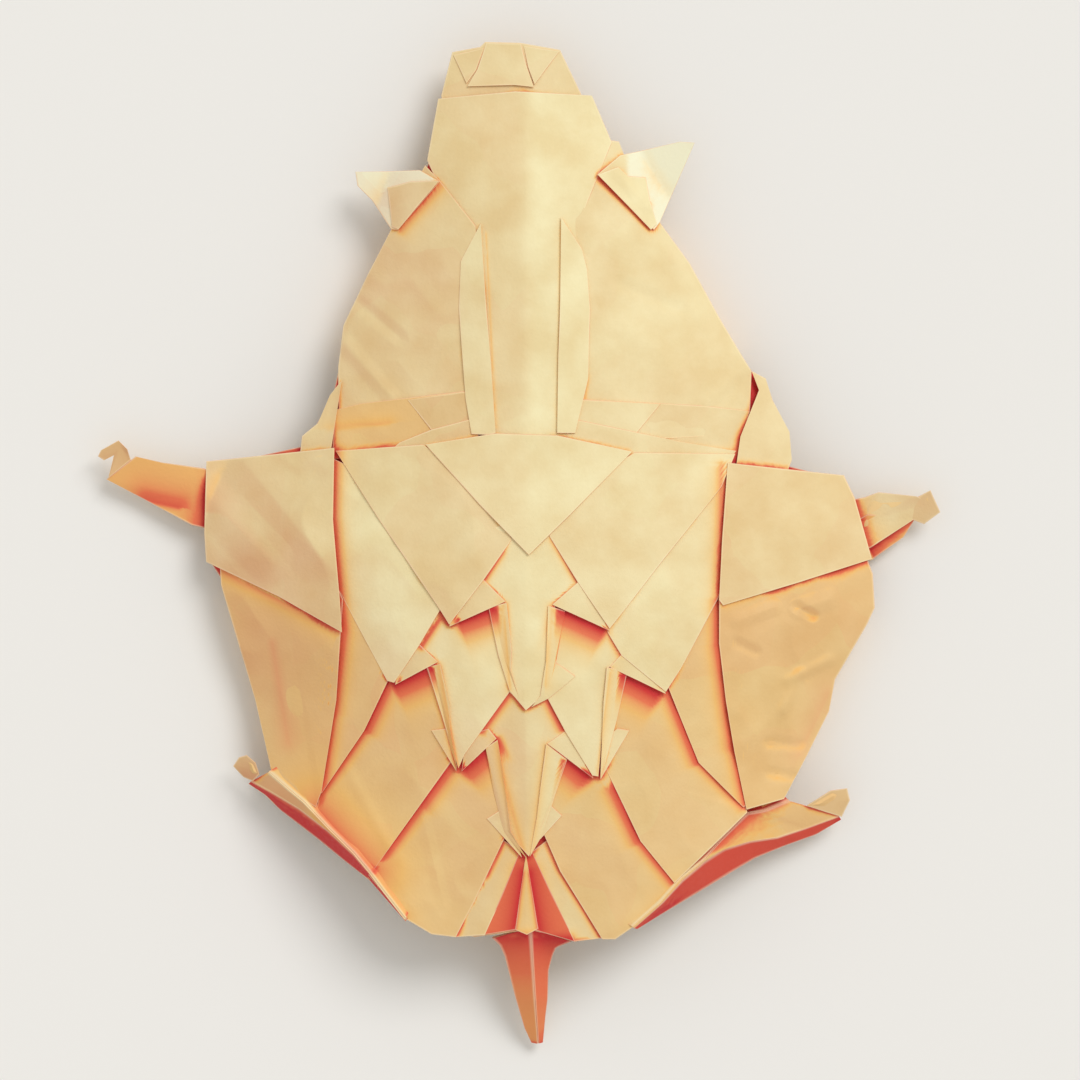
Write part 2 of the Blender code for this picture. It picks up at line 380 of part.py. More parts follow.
LEAVES = {
    "snout": SNOUT,
    "snout_disc": SNOUT_DISC,
    "forehead": FOREHEAD,
    "cheek_left": CHEEK_LEFT,
    "cheek_right": CHEEK_RIGHT,
    "lapel_left": LAPEL_LEFT,
    "lapel_right": LAPEL_RIGHT,
    "ear_left": EAR_LEFT,
    "ear_right": EAR_RIGHT,
    "neck_front": NECK_FRONT,
    "neck_rear": NECK_REAR,
    "neck_side_left": NECK_SIDE_LEFT,
    "neck_side_right": NECK_SIDE_RIGHT,
    "collar": COLLAR,
    "tile_1_left": TILE_1_LEFT,
    "tile_1_right": TILE_1_RIGHT,
    "tile_2_left": TILE_2_LEFT,
    "tile_2_right": TILE_2_RIGHT,
    "tile_2_middle": TILE_2_MIDDLE,
    "band_2_left": BAND_2_LEFT,
    "band_2_right": BAND_2_RIGHT,
    "tile_3_left": TILE_3_LEFT,
    "band_3_left": BAND_3_LEFT,
    "tile_3_right": TILE_3_RIGHT,
    "band_3_right": BAND_3_RIGHT,
    "tile_4": TILE_4,
    "band_4_left": BAND_4_LEFT,
    "band_4_right": BAND_4_RIGHT,
    "turned_1_left": TURNED_1_LEFT,
    "turned_1_right": TURNED_1_RIGHT,
    "turned_2_left": TURNED_2_LEFT,
    "turned_2_right": TURNED_2_RIGHT,
    "turned_3_left": TURNED_3_LEFT,
    "turned_3_right": TURNED_3_RIGHT,
    "earlet_3_left": EARLET_3_LEFT,
    "earlet_3_right": EARLET_3_RIGHT,
    "earlet_4_left": EARLET_4_LEFT,
    "earlet_4_right": EARLET_4_RIGHT,
    "shoulder_left": SHOULDER_LEFT,
    "shoulder_right": SHOULDER_RIGHT,
    "flank_left": FLANK_LEFT,
    "flank_right": FLANK_RIGHT,
    "rump_a_left": RUMP_A_LEFT,
    "rump_a_right": RUMP_A_RIGHT,
    "rump_b_left": RUMP_B_LEFT,
    "rump_b_right": RUMP_B_RIGHT,
    "rump_c_left": RUMP_C_LEFT,
    "rump_c_right": RUMP_C_RIGHT,
    "tail_root": TAIL_ROOT,
}

LIMBS = {
    "leg_front_left": LEG_FRONT_LEFT,
    "hoof_front_left": HOOF_FRONT_LEFT,
    "leg_front_right": LEG_FRONT_RIGHT,
    "leg_under_right": LEG_UNDER_RIGHT,
    "hoof_front_right": HOOF_FRONT_RIGHT,
    "leg_hind_left": LEG_HIND_LEFT,
    "hoof_hind_left": HOOF_HIND_LEFT,
    "leg_hind_right": LEG_HIND_RIGHT,
    "hoof_hind_right": HOOF_HIND_RIGHT,
    "tail_left": TAIL_LEFT,
    "tail_right": TAIL_RIGHT,
}

# Hems with the side that they fold to: 1 towards +X, -1 towards -X
HEMS = {
    "hem_cheek_left": (HEM_CHEEK_LEFT, 1),
    "hem_cheek_right": (HEM_CHEEK_RIGHT, -1),
    "hem_flank_left": (HEM_FLANK_LEFT, 1),
    "hem_flank_right": (HEM_FLANK_RIGHT, -1),
}


def main():
    for thing in list(bpy.data.objects):
        bpy.data.objects.remove(thing)
    boar = new_collection("origami_boar")
    folds = new_collection("folds")
    for name, outline in LEAVES.items():
        leaf(name, outline, folds)
    for name, corners in LIMBS.items():
        plate(name, divided(corners), folds)
    for name, (line, side) in HEMS.items():
        hem(name, line, side, folds)
    for fold in folds.objects:
        fold.hide_render = True
        fold.display_type = "WIRE"
    bm = divided([(x, y, LINING) for x, y in LINING_OUTLINE])
    for vert in bm.verts:
        vert.co.z = dome(*vert.co.xy) + LINING * LAYER
    sheet = plate("folded_sheet", bm, boar)
    sheet.data.materials.append(paper("cream_paper", PAPER_COLOUR))
    joined = sheet.modifiers.new("folds", "BOOLEAN")
    joined.operation = "UNION"
    joined.solver = "EXACT"
    joined.operand_type = "COLLECTION"
    joined.collection = folds
    mesh = bpy.data.meshes.new_from_object(sheet.evaluated_get(bpy.context.evaluated_depsgraph_get()))
    pressed_flat(mesh)
    sheet.modifiers.clear()
    sheet.data = mesh


main()
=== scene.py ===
# %% [markdown]
# # An origami boar
#
# This boar is folded from one square of cream paper and lies on its belly with its legs spread.
# Nothing is cut or glued: every scale on its back is a pleat of the same sheet. We can't fold a
# sheet in a script, so we build what the eye sees, one visible fold at a time, as a surface over a
# shared dome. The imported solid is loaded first, because every fold has to stay in its box.

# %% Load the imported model
import json
import math
import bpy
import numpy as np
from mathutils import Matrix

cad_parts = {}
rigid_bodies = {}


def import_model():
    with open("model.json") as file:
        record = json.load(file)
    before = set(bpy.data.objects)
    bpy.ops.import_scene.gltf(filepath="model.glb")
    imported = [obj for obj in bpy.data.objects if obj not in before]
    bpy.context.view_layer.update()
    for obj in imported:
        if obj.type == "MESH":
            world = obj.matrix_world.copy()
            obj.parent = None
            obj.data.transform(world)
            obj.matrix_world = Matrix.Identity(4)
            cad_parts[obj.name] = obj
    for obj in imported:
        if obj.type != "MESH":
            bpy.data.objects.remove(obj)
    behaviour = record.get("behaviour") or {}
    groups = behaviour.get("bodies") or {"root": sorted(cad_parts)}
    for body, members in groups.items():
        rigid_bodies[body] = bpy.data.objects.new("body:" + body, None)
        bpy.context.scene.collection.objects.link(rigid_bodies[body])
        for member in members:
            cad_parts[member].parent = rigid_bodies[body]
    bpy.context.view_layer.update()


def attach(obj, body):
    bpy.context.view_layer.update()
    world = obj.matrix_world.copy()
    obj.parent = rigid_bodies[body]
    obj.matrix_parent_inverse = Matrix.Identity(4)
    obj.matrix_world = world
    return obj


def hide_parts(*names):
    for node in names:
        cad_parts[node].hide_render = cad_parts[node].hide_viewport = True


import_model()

# %% [markdown]
# ## Sizes
#
# The plan is drawn in millimetres, with +Y towards the snout and +X to the right, and a height is
# counted in layers of paper above the dome. So one table row, x, y and level, says where the
# corner of a fold is and how many layers lie under it.

# %% Sizes, in millimetres
MM = 0.001
STEP = 0.8             # distance between neighbouring points of a fold
LAYER = 0.4            # rise of one layer over the one below it
LIFT = 0.6             # height of level 0 over the dome
FOLD = 0.16            # radius of a sharp fold, which is half its thickness
TURN_BACK = 2.5        # how far the paper turns back under a fold's edge
TURN_DROP = 3.0        # how far down it goes there, in layers
NARROW_SHARE = 0.4     # the most of the way to its middle that a narrow fold turns back
TUCKED = -2.0          # level of an edge that is hidden in the sheet below, in layers
BACK_LINE = 1.4        # the middle of the back, to the right of the Y axis
SHEET = 0.6            # thickness of the pressed paper of a leg
EDGE_BAND = 0.9        # width of the finer rings beside a leaf's edge
EDGE_SHARE = 0.3       # the most of the way to its middle that this band takes
BAND_RING = 0.4        # where one more ring lies in that band, as a share of its width
BRINK = 0.5            # how far inside its edge the upper side ends, in fold radii
SINK = 1.5             # power by which the paper sinks away under a fold
FOLD_TURNS = (55.0, 0.0, -55.0, -90.0)     # where the rings round a fold lie, in degrees
UNDER_SHARES = (0.3, 0.65, 1.0)            # and those on the way back under it, as shares
NOSE = 0.25            # how far a pleat's edge is rounded out, in steps between its points

# Place along Y, ridge height, rim height, half width to the left and to the right
DOME = ((106.0, 8.5, 7.5, 14.0, 14.0), (89.0, 11.0, 8.5, 20.0, 18.0), (77.0, 14.0, 8.0, 26.0, 24.0),
        (63.0, 16.5, 7.0, 32.0, 33.0), (44.0, 18.5, 5.5, 42.0, 46.0), (30.0, 19.5, 5.0, 51.0, 57.0),
        (16.0, 21.0, 5.0, 60.0, 64.0), (0.0, 23.0, 5.5, 65.0, 70.0), (-14.0, 24.0, 5.5, 62.0, 71.0),
        (-30.0, 23.5, 5.5, 56.0, 64.0), (-46.0, 21.5, 8.0, 52.0, 58.0), (-60.0, 19.0, 12.5, 46.0, 52.0),
        (-72.0, 17.0, 15.0, 38.0, 42.0), (-84.0, 15.5, 15.0, 30.0, 34.0))
print("stations along the body:", len(DOME))

# %% [markdown]
# ## The dome
#
# Under all the folds, the body swells like an upturned dish: highest along the back, low at the
# rim. A few stations along the body give its height and width, and a cubic through them gives the
# rest. Across the body a parabola is close enough, and both are plain array sums, so numpy works
# out ten thousand heights as easily as one.

# %% Height of the dome
STATIONS = np.array(DOME[::-1])


def along_back(y):
    """Ridge, rim and both half widths at each y.

    Between two stations runs a cubic with the value and the slope of each: a Hermite curve.
    """
    place = STATIONS[:, 0]
    values = STATIONS[:, 1:]
    slopes = np.gradient(values, place, axis=0)
    i = np.clip(np.searchsorted(place, y) - 1, 0, len(place) - 2)
    span = (place[i + 1] - place[i])[..., None]
    t = np.clip((y - place[i])[..., None] / span, 0.0, 1.0)
    start = (1 + 2 * t) * (1 - t) ** 2 * values[i] + t * (1 - t) ** 2 * span * slopes[i]
    end = t * t * (3 - 2 * t) * values[i + 1] + t * t * (t - 1) * span * slopes[i + 1]
    return np.moveaxis(start + end, -1, 0)


def dome(x, y):
    """Rim height plus a parabola across, which reaches the ridge height on the back line."""
    ridge, rim, left, right = along_back(y)
    half = np.where(x < BACK_LINE, left, right)
    across = np.minimum(np.abs(x - BACK_LINE) / half, 1.0)
    return rim + (ridge - rim) * (1.0 - across ** 2)


print("height of the back over the shoulders:", dome(np.array(BACK_LINE), np.array(0.0)).round(1), "mm")

# %% [markdown]
# ## Handled paper
#
# Paper that has been folded, opened and folded again is never flat. It keeps a net of soft creases
# with small facets between them. One minus the size of a smooth random height has just that form:
# a sharp ridge wherever the height crosses zero. The numbers come from a seeded generator, so the
# same creases come back on each run.

# %% Crumples and creases
LATTICE = 64                           # random heights along each side of the lattice
WIDE_SIZE, WIDE_RELIEF = 13.0, 0.30    # size and height of the large facets, in millimetres
FINE_SIZE, FINE_RELIEF = 6.0, 0.12     # and of the small ones
MEAN_RELIEF = 0.3                      # taken off again, so that a fold keeps its place
COS, SIN = 0.8, 0.6                    # of the angle that turns the lattices out of line


def smooth_random(x, y, size, seed):
    """Random heights from -1 to 1 on a square lattice, blended with a smooth step in between."""
    lattice = np.random.default_rng(seed).uniform(-1.0, 1.0, (LATTICE, LATTICE))
    u = x / size + LATTICE / 2
    v = y / size + LATTICE / 2
    i = np.floor(u).astype(int)
    j = np.floor(v).astype(int)
    s = (u - i) ** 2 * (3.0 - 2.0 * (u - i))
    t = (v - j) ** 2 * (3.0 - 2.0 * (v - j))
    i, next_i = i % LATTICE, (i + 1) % LATTICE
    j, next_j = j % LATTICE, (j + 1) % LATTICE
    near = lattice[i, j] * (1 - s) + lattice[next_i, j] * s
    far = lattice[i, next_j] * (1 - s) + lattice[next_i, next_j] * s
    return near * (1 - t) + far * t


def crumpled(x, y, seed):
    """Facets with creased ridges: one minus the size of a random height, at two sizes."""
    wide = 1.0 - np.abs(smooth_random(COS * x + SIN * y, COS * y - SIN * x, WIDE_SIZE, seed))
    fine = 1.0 - np.abs(smooth_random(SIN * x - COS * y, SIN * y + COS * x, FINE_SIZE, seed + 1))
    return WIDE_RELIEF * wide + FINE_RELIEF * fine - MEAN_RELIEF


def creased(x, y, creases):
    """A tent along each crease line: its height at the line, falling evenly to nothing at its width."""
    lift = np.zeros_like(x)
    for x0, y0, x1, y1, height, width in creases:
        length = math.hypot(x1 - x0, y1 - y0)
        share = np.clip(((x - x0) * (x1 - x0) + (y - y0) * (y1 - y0)) / length ** 2, 0.0, 1.0)
        away = np.hypot(x - x0 - share * (x1 - x0), y - y0 - share * (y1 - y0))
        lift = lift + height * np.clip(1.0 - away / width, 0.0, 1.0)
    return lift


print("crumple heights, mm:", crumpled(np.linspace(-60.0, 60.0, 7), np.zeros(7), 3).round(2))

# %% [markdown]
# ## One leaf
#
# A visible fold is a leaf of two layers that meet in a sharp, rounded edge. Its outline is a few
# corners. From a point inside that sees every edge, rings grow outwards to the outline, turn round
# the fold and run back underneath, lower and lower. That is one grid: a ring number and a place
# along the outline. It closes by itself, so it needs no later repair.

# %% Points along an outline
SEARCH = 61            # places tried each way when the middle of an outline is looked for


def traced(corners):
    """Points along a closed outline, STEP apart at most, with each corner kept, anticlockwise."""
    x, y = corners[:, 0], corners[:, 1]
    if np.sum(x * np.roll(y, -1) - np.roll(x, -1) * y) < 0.0:
        corners = corners[::-1]
    onward = np.roll(corners, -1, axis=0) - corners
    counts = np.maximum(1, np.ceil(np.hypot(onward[:, 0], onward[:, 1]) / STEP)).astype(int)
    owner = np.repeat(np.arange(len(corners)), counts)
    first = np.repeat(np.cumsum(counts) - counts, counts)
    share = (np.arange(counts.sum()) - first) / counts[owner]
    return corners[owner] + onward[owner] * share[:, None]


def seen_from(edge):
    """The point that lies farthest inside all edge lines, out of a grid laid over the outline."""
    low, high = edge[:, :2].min(axis=0), edge[:, :2].max(axis=0)
    across = np.linspace(low, high, SEARCH)
    gx, gy = np.meshgrid(across[:, 0], across[:, 1])
    spots = np.stack([gx.ravel(), gy.ravel()], axis=1)
    onward = np.roll(edge[:, :2], -1, axis=0) - edge[:, :2]
    inward = np.stack([-onward[:, 1], onward[:, 0]], axis=1) / np.hypot(*onward.T)[:, None]
    depth = ((spots[:, None] - edge[None, :, :2]) * inward).sum(axis=2).min(axis=1)
    return spots[depth.argmax()]


SQUARE = np.array([(0.0, 0.0, 0.0), (10.0, 0.0, 0.0), (10.0, 10.0, 0.0), (0.0, 10.0, 0.0)])
print("points round a square of 10 mm:", len(traced(SQUARE)), "seen from", seen_from(traced(SQUARE)))

# %% [markdown]
# Now the rings. On the upper side a point's height is dome, layers and relief. Round the fold the
# rings follow a half circle, and beneath they sink towards the sheet below.

# %% The leaf surface
def levels(edge, plan, shares):
    """The plane that fits the corners best, plus what the edge departs from it times share squared."""
    placed = np.column_stack([edge[:, :2], np.ones(len(edge))])
    plane = np.linalg.lstsq(placed, edge[:, 2], rcond=None)[0]
    rest = edge[:, 2] - placed @ plane
    return plan[..., 0] * plane[0] + plan[..., 1] * plane[1] + plane[2] + rest * shares ** 2


def leaf(outline, seed, crumple, creases, flat):
    """Rings of points for one leaf, in millimetres, from its middle over the edge to its underside.

    A flat leaf takes its numbers as heights above the table, the others as layers above the dome.
    Also gives the number of rings on the upper side.
    """
    edge = traced(np.array(outline))
    middle = seen_from(edge)
    spokes = edge[:, :2] - middle
    reach = np.hypot(spokes[:, 0], spokes[:, 1])
    out = spokes / reach[:, None]

    # Upper side: even rings up to the band beside the edge, then two finer ones
    count = max(4, int(math.ceil(reach.max() / STEP)))
    inset = np.minimum(EDGE_BAND, EDGE_SHARE * reach)
    shares = np.linspace(0.0, 1.0, count)[:, None] * (1.0 - inset / reach)
    shares = np.vstack([shares, 1.0 - BAND_RING * inset / reach, 1.0 - BRINK * FOLD / reach])
    plan = middle + shares[..., None] * spokes
    x, y = plan[..., 0], plan[..., 1]
    level = levels(edge, plan, shares)
    ground = 0.0 * x if flat else dome(x, y) + LIFT
    layer = 1.0 if flat else LAYER
    relief = crumple * crumpled(x, y, seed) + creased(x, y, creases)
    top = np.dstack([x, y, ground + level * layer + relief])

    # Round the fold
    rings = [top]
    brink = top[-1, :, 2]
    for turn in FOLD_TURNS:
        spot = middle + out * (reach - FOLD + FOLD * math.cos(math.radians(turn)))[:, None]
        rings.append(np.column_stack([spot, brink - FOLD + FOLD * math.sin(math.radians(turn))])[None])

    # Back underneath, steeper and steeper down, never above the fold's own underside
    back = np.minimum(TURN_BACK, NARROW_SHARE * reach)
    brim = brink - 2.0 * FOLD
    for share in UNDER_SHARES:
        spot = middle + out * (reach - FOLD - share * back)[:, None]
        if flat:
            low = edge[:, 2] - SHEET / 2
        else:
            low = dome(spot[:, 0], spot[:, 1]) + LIFT + np.maximum(TUCKED, edge[:, 2] - TURN_DROP) * LAYER
        under = brim + share ** SINK * (np.minimum(low, brim) - brim)
        rings.append(np.column_stack([spot, under])[None])
    base = 0.0 if flat else float(dome(middle[0], middle[1])) + LIFT
    last = base + (level[0, 0] - SHEET / 2 if flat else TUCKED * LAYER)
    foot = np.broadcast_to([middle[0], middle[1], last], (1, len(edge), 3))
    return np.vstack(rings + [foot]), len(top)


tried, upper_rings = leaf(SQUARE, 1, 1.0, (), False)
print("a leaf of 10 by 10 mm:", tried.shape[0], "rings,", upper_rings, "of them on the upper side")

# %% [markdown]
# ## One pleat
#
# Legs and tail are narrow pleats that stand up from the sheet. A pleat is drawn by lines that run
# along it: an edge, a ridge, the other edge. Straight lines across join them, and each point moves
# half the thickness out along the surface's own direction, to both sides. A ring round the pleat
# and a place along it are the two parameters.

# %% The pleat surface
def resampled(line, count):
    """Points at even shares of a line's length."""
    line = np.array(line)
    far = np.concatenate([[0.0], np.cumsum(np.linalg.norm(np.diff(line, axis=0), axis=1))])
    places = np.linspace(0.0, far[-1], count)
    return np.column_stack([np.interp(places, far, line[:, k]) for k in range(3)])


def pleat(lines, seed, crumple):
    """Rings of points round a folded strip, in millimetres, with a point at each end.

    Across, the middle surface runs straight from one line to the next. Its direction is the cross
    product of the steps along and across, and the faces lie half a sheet to each side of it. Also
    gives the number of points across.
    """
    lengths = [np.linalg.norm(np.diff(np.array(line), axis=0), axis=1).sum() for line in lines]
    count = int(math.ceil(max(lengths) / STEP)) + 1
    lines = [resampled(line, count) for line in lines]
    columns = [lines[0][:, None]]
    for first, second in zip(lines, lines[1:]):
        width = np.linalg.norm(second - first, axis=1).max()
        share = np.linspace(0.0, 1.0, max(3, int(math.ceil(width / STEP)) + 1))[1:]
        columns.append(first[:, None] + (second - first)[:, None] * share[None, :, None])
    grid = np.concatenate(columns, axis=1)
    grid[..., 2] += crumple * crumpled(grid[..., 0], grid[..., 1], seed)
    facing = np.cross(np.gradient(grid, axis=0), np.gradient(grid, axis=1))
    facing /= np.maximum(np.linalg.norm(facing, axis=2), 1e-9)[..., None]
    facing *= np.sign(facing[..., 2].mean())
    upper = grid + facing * SHEET / 2
    lower = grid - facing * SHEET / 2
    start = grid[:, :1] - (grid[:, 1:2] - grid[:, :1]) * NOSE
    end = grid[:, -1:] + (grid[:, -1:] - grid[:, -2:-1]) * NOSE
    rings = np.concatenate([upper, end, lower[:, ::-1], start], axis=1)
    head = np.broadcast_to(grid[0].mean(axis=0), (1,) + rings.shape[1:])
    foot = np.broadcast_to(grid[-1].mean(axis=0), (1,) + rings.shape[1:])
    return np.concatenate([head, rings, foot]), grid.shape[1]


tried, across = pleat([[(0.0, 0.0, 1.0), (20.0, 0.0, 1.0)], [(0.0, 5.0, 1.0), (20.0, 5.0, 1.0)]], 1, 0.4)
print("a pleat of 20 by 5 mm:", tried.shape[0], "rings,", across, "points across")

# %% [markdown]
# ## The tones of the paper
#
# The sheet is one paper, yet it doesn't look one colour. Its left side is handled and painted tanner,
# the tanner tone being partly that of handled paper and partly painted shade, as the left side turns
# from the key light; the reverse side is nearly white; and deep between the folds the paper is painted
# with shade that glows orange and red. Every point carries those shares as an attribute: painted
# shade, white, and the tanner tone with painted shade. A last number marks the fold lines, painted a
# little lighter as a painted highlight along the edge.

# %% Collecting the folds
SHAPES = {}
EDGE_HIGHLIGHT = 0.45       # how strong the painted highlight is along a fold line
SIDE_BLEND = 5.0       # width of the blend between the left and the right side, in millimetres


def smooth_step(value):
    """From 0 to 1 with no corner at either end."""
    t = np.clip(value, 0.0, 1.0)
    return t * t * (3.0 - 2.0 * t)


def toned(rings, line, tan_and_shade, white, painted_shade):
    """Tone numbers for each point: painted shade, white, the tanner tone with painted shade, and the
    painted highlight of the fold line, as one row of four.

    The tanner tone, which is partly painted shade, is one share, or one to the left and one to the
    right of the back line. white is the direction in the plan in which the sheet turns white and the
    distance where that starts.
    """
    left, right = np.broadcast_to(tan_and_shade, 2)
    x, y = rings[..., 0], rings[..., 1]
    tone = np.zeros(rings.shape[:2] + (4,))
    tone[..., 0] = painted_shade
    tone[..., 1] = smooth_step(white[0] * x + white[1] * y - white[2]) if white else 0.0
    side = smooth_step((x - BACK_LINE) / SIDE_BLEND + 0.5)
    tone[..., 2] = left + (right - left) * side
    tone[..., 3] = line
    return tone


def next_fold(piece):
    """The list of a piece's folds, and a seed that moves on by two from fold to fold."""
    folds = SHAPES.setdefault(piece, [])
    return folds, 40 * (len(SHAPES) + 1) + 2 * len(folds)


def add_leaf(piece, outline, tan_and_shade, crumple, painted_shade=0.0, creases=(), flat=False, white=None):
    """Adds a leaf to a piece, with a painted highlight along its edge, the fold line."""
    folds, seed = next_fold(piece)
    rings, tops = leaf(outline, seed, crumple, creases, flat)
    line = np.zeros(rings.shape[:2])
    line[tops - 1:tops + 2] = EDGE_HIGHLIGHT
    folds.append((rings, toned(rings, line, tan_and_shade, white, painted_shade)))


def add_pleat(piece, lines, tan_and_shade, crumple=0.4, painted_shade=0.0):
    """Adds a pleat to a piece, with a painted highlight along its edges, the fold lines."""
    folds, seed = next_fold(piece)
    rings, across = pleat(lines, seed, crumple)
    line = np.zeros(rings.shape[:2])
    line[:, (0, across - 1, across, -1)] = EDGE_HIGHLIGHT
    folds.append((rings, toned(rings, line, tan_and_shade, None, painted_shade)))


def add_leaves(piece, rows, **shared):
    """Adds a leaf for each row of outline, tanner tone with painted shade, crumple and, where it has one,
    painted shade.
    """
    for row in rows:
        add_leaf(piece, *row, **shared)


spots = np.array([[(-9.0, 0.0, 0.0), (BACK_LINE, 0.0, 0.0), (9.0, 0.0, 0.0)]])
print("tan left, on and right of the back line:", toned(spots, 0.0, (0.5, 0.1), None, 0.0)[0, :, 2])

# %% [markdown]
# ## The lining and the hems
#
# Seen from below, the boar is a shallow bowl of plain paper, and its margins are folded down under
# the flanks and cheeks to stand flat on the table. The lining also closes the gaps between folds
# from beneath, so no one can see through the animal.

# %% Lining and hems
LINING_OUTLINE = (
    (-15.6, 88.0), (-18.2, 76.0), (-25.0, 63.0), (-30.0, 53.8), (-34.8, 43.8), (-36.0, 35.4),
    (-37.2, 29.8), (-43.0, 19.6), (-61.8, 15.6), (-62.4, -3.0), (-58.8, -8.4), (-54.4, -23.2),
    (-52.2, -31.2), (-48.6, -44.8), (-42.4, -51.0), (-32.6, -61.0), (-22.6, -73.8), (-17.2, -77.0),
    (-8.8, -78.4), (1.6, -77.0), (12.2, -78.8), (19.0, -78.0), (23.2, -75.2), (32.0, -66.0),
    (40.0, -58.6), (45.2, -53.2), (52.2, -51.0), (57.0, -42.2), (61.4, -33.6), (62.8, -27.2),
    (69.0, -16.2), (70.6, -6.0), (66.6, 9.0), (64.2, 13.0), (54.0, 15.6), (53.4, 22.2), (49.0, 32.4),
    (44.6, 36.6), (39.6, 45.2), (33.6, 56.0), (27.6, 64.0), (19.6, 77.2), (17.4, 80.4), (14.0, 88.4))
LINING_TAN_AND_SHADE = (0.5, 0.4)
add_leaf("belly_lining", [(x, y, TUCKED) for x, y in LINING_OUTLINE], LINING_TAN_AND_SHADE, 0.5)

# The top line of each hem, and the side that it folds to: 1 towards +X, -1 towards -X
HEM_CHEEK_LEFT = ((-24.0, 61.0), (-29.0, 52.0), (-33.6, 43.0), (-34.8, 36.0))
HEM_CHEEK_RIGHT = ((26.6, 62.0), (32.6, 54.4), (38.4, 44.4), (43.2, 36.4))
HEM_FLANK_LEFT = ((-57.4, -9.0), (-53.0, -23.2), (-51.0, -31.2), (-47.6, -43.6))
HEM_FLANK_RIGHT = ((68.8, -14.0), (61.8, -26.0), (60.0, -33.0), (55.6, -42.6))
HEM_LEAN = 2.0         # how far a hem leans in on its way down, in millimetres
HEM_WIDTH = 7.0        # how wide it lies on the table


def add_hem(line, side):
    """Three lines: under the rim, on the table below it, and along the table towards the middle."""
    top = [(x, y, float(dome(np.array(x), np.array(y))) + LIFT + TUCKED * LAYER) for x, y in line]
    heel = [(x + side * HEM_LEAN, y, SHEET / 2) for x, y in line]
    toe = [(x + side * (HEM_LEAN + HEM_WIDTH), y, SHEET / 2) for x, y in line]
    add_pleat("belly_lining", [top, heel], LINING_TAN_AND_SHADE, crumple=0.0)
    add_pleat("belly_lining", [heel, toe], LINING_TAN_AND_SHADE, crumple=0.0)


for hem, side in ((HEM_CHEEK_LEFT, 1), (HEM_CHEEK_RIGHT, -1), (HEM_FLANK_LEFT, 1), (HEM_FLANK_RIGHT, -1)):
    add_hem(hem, side)
print("folds of the lining:", len(SHAPES["belly_lining"]))

# %% [markdown]
# ## The head
#
# The snout is a blunt box pleat with a small tab on top and a turned corner at either side. From
# here on, a row after the tables names an outline, its tanner tone with painted shade, how crumpled it
# is, and how much painted shade it has.

# %% Snout
SNOUT = (
    (-15.6, 89.8, -0.6), (-13.4, 98.6, -0.6), (-7.8, 99.6, -0.4), (-6.8, 100.6, -0.4),
    (0.2, 100.4, -0.4), (8.2, 99.0, -0.6), (12.4, 90.2, -0.6), (13.0, 84.0, -1.0), (-14.6, 84.0, -1.0))
SNOUT_TUCK_LEFT = ((-13.2, 98.0, 0.0), (-10.5, 92.2, 0.4), (-8.6, 94.8, 0.2), (-7.0, 99.4, -0.2))
SNOUT_TUCK_RIGHT = ((8.1, 98.7, 0.0), (0.9, 99.8, -0.2), (1.8, 95.4, 0.2), (3.1, 91.9, 0.4))
SNOUT_DISC = (
    (-8.4, 95.0, 0.1), (-10.4, 91.6, 0.7), (-0.8, 91.8, 0.9), (3.0, 91.4, 0.7), (1.6, 95.6, 0.1),
    (0.4, 100.2, -0.1), (-6.6, 100.4, -0.1))
add_leaves("head_folds", (
    (SNOUT, (0.45, 0.3), 0.3), (SNOUT_TUCK_LEFT, 0.5, 0.2), (SNOUT_TUCK_RIGHT, 0.3, 0.2),
    (SNOUT_DISC, (0.35, 0.3), 0.3)))
print("folds of the snout:", len(SHAPES["head_folds"]))

# %% [markdown]
# Behind it lies the smooth forehead, which runs down between two narrow lapels. The cheeks spread
# out under them. A crease row is a line, its height and its width.

# %% Forehead, cheeks and lapels
FOREHEAD = (
    (18.6, 80.4, 0.0), (14.6, 89.8, 0.5), (-0.8, 90.6, 0.7), (-16.2, 89.2, 0.5), (-18.4, 76.8, 0.0),
    (-12.0, 62.0, 0.0), (-9.0, 44.0, 0.8), (-7.0, 20.0, 2.2), (1.4, 20.0, 2.8), (10.0, 20.0, 2.2),
    (10.6, 44.0, 0.8), (12.0, 64.0, 0.0))
HEAD_CREASES = ((1.4, 92.0, 1.4, 20.0, 0.25, 7.0),)
CHEEK_LEFT = (
    (-36.2, 35.4, 0.2), (-35.2, 43.8, 0.2), (-30.4, 53.8, 0.2), (-25.6, 63.0, 0.2), (-18.8, 75.8, 0.5),
    (-15.8, 72.6, 0.9), (-8.6, 63.4, 1.0), (-8.2, 48.8, 1.2), (-7.4, 22.0, 1.6), (-14.0, 20.0, 1.0),
    (-36.0, 22.0, 0.0))
CHEEK_RIGHT = (
    (9.4, 22.0, 1.6), (9.6, 48.8, 1.2), (9.4, 64.6, -0.2), (12.0, 80.0, -0.8), (18.6, 80.8, 0.0),
    (20.0, 80.6, 0.1), (21.4, 77.0, 0.3), (28.2, 64.4, 0.2), (34.2, 56.2, 0.2), (40.2, 45.2, 0.2),
    (45.2, 36.8, 0.2), (46.6, 34.6, 0.2), (46.0, 22.0, 0.0), (14.0, 20.0, 1.0))
CHEEK_CREASES = (
    (-34.8, 40.0, -25.6, 29.6, 0.35, 2.0), (-32.0, 48.2, -23.8, 41.2, -0.3, 1.8),
    (37.4, 28.0, 46.6, 36.6, 0.35, 1.8), (20.0, 52.0, 32.0, 47.0, -0.25, 2.0))
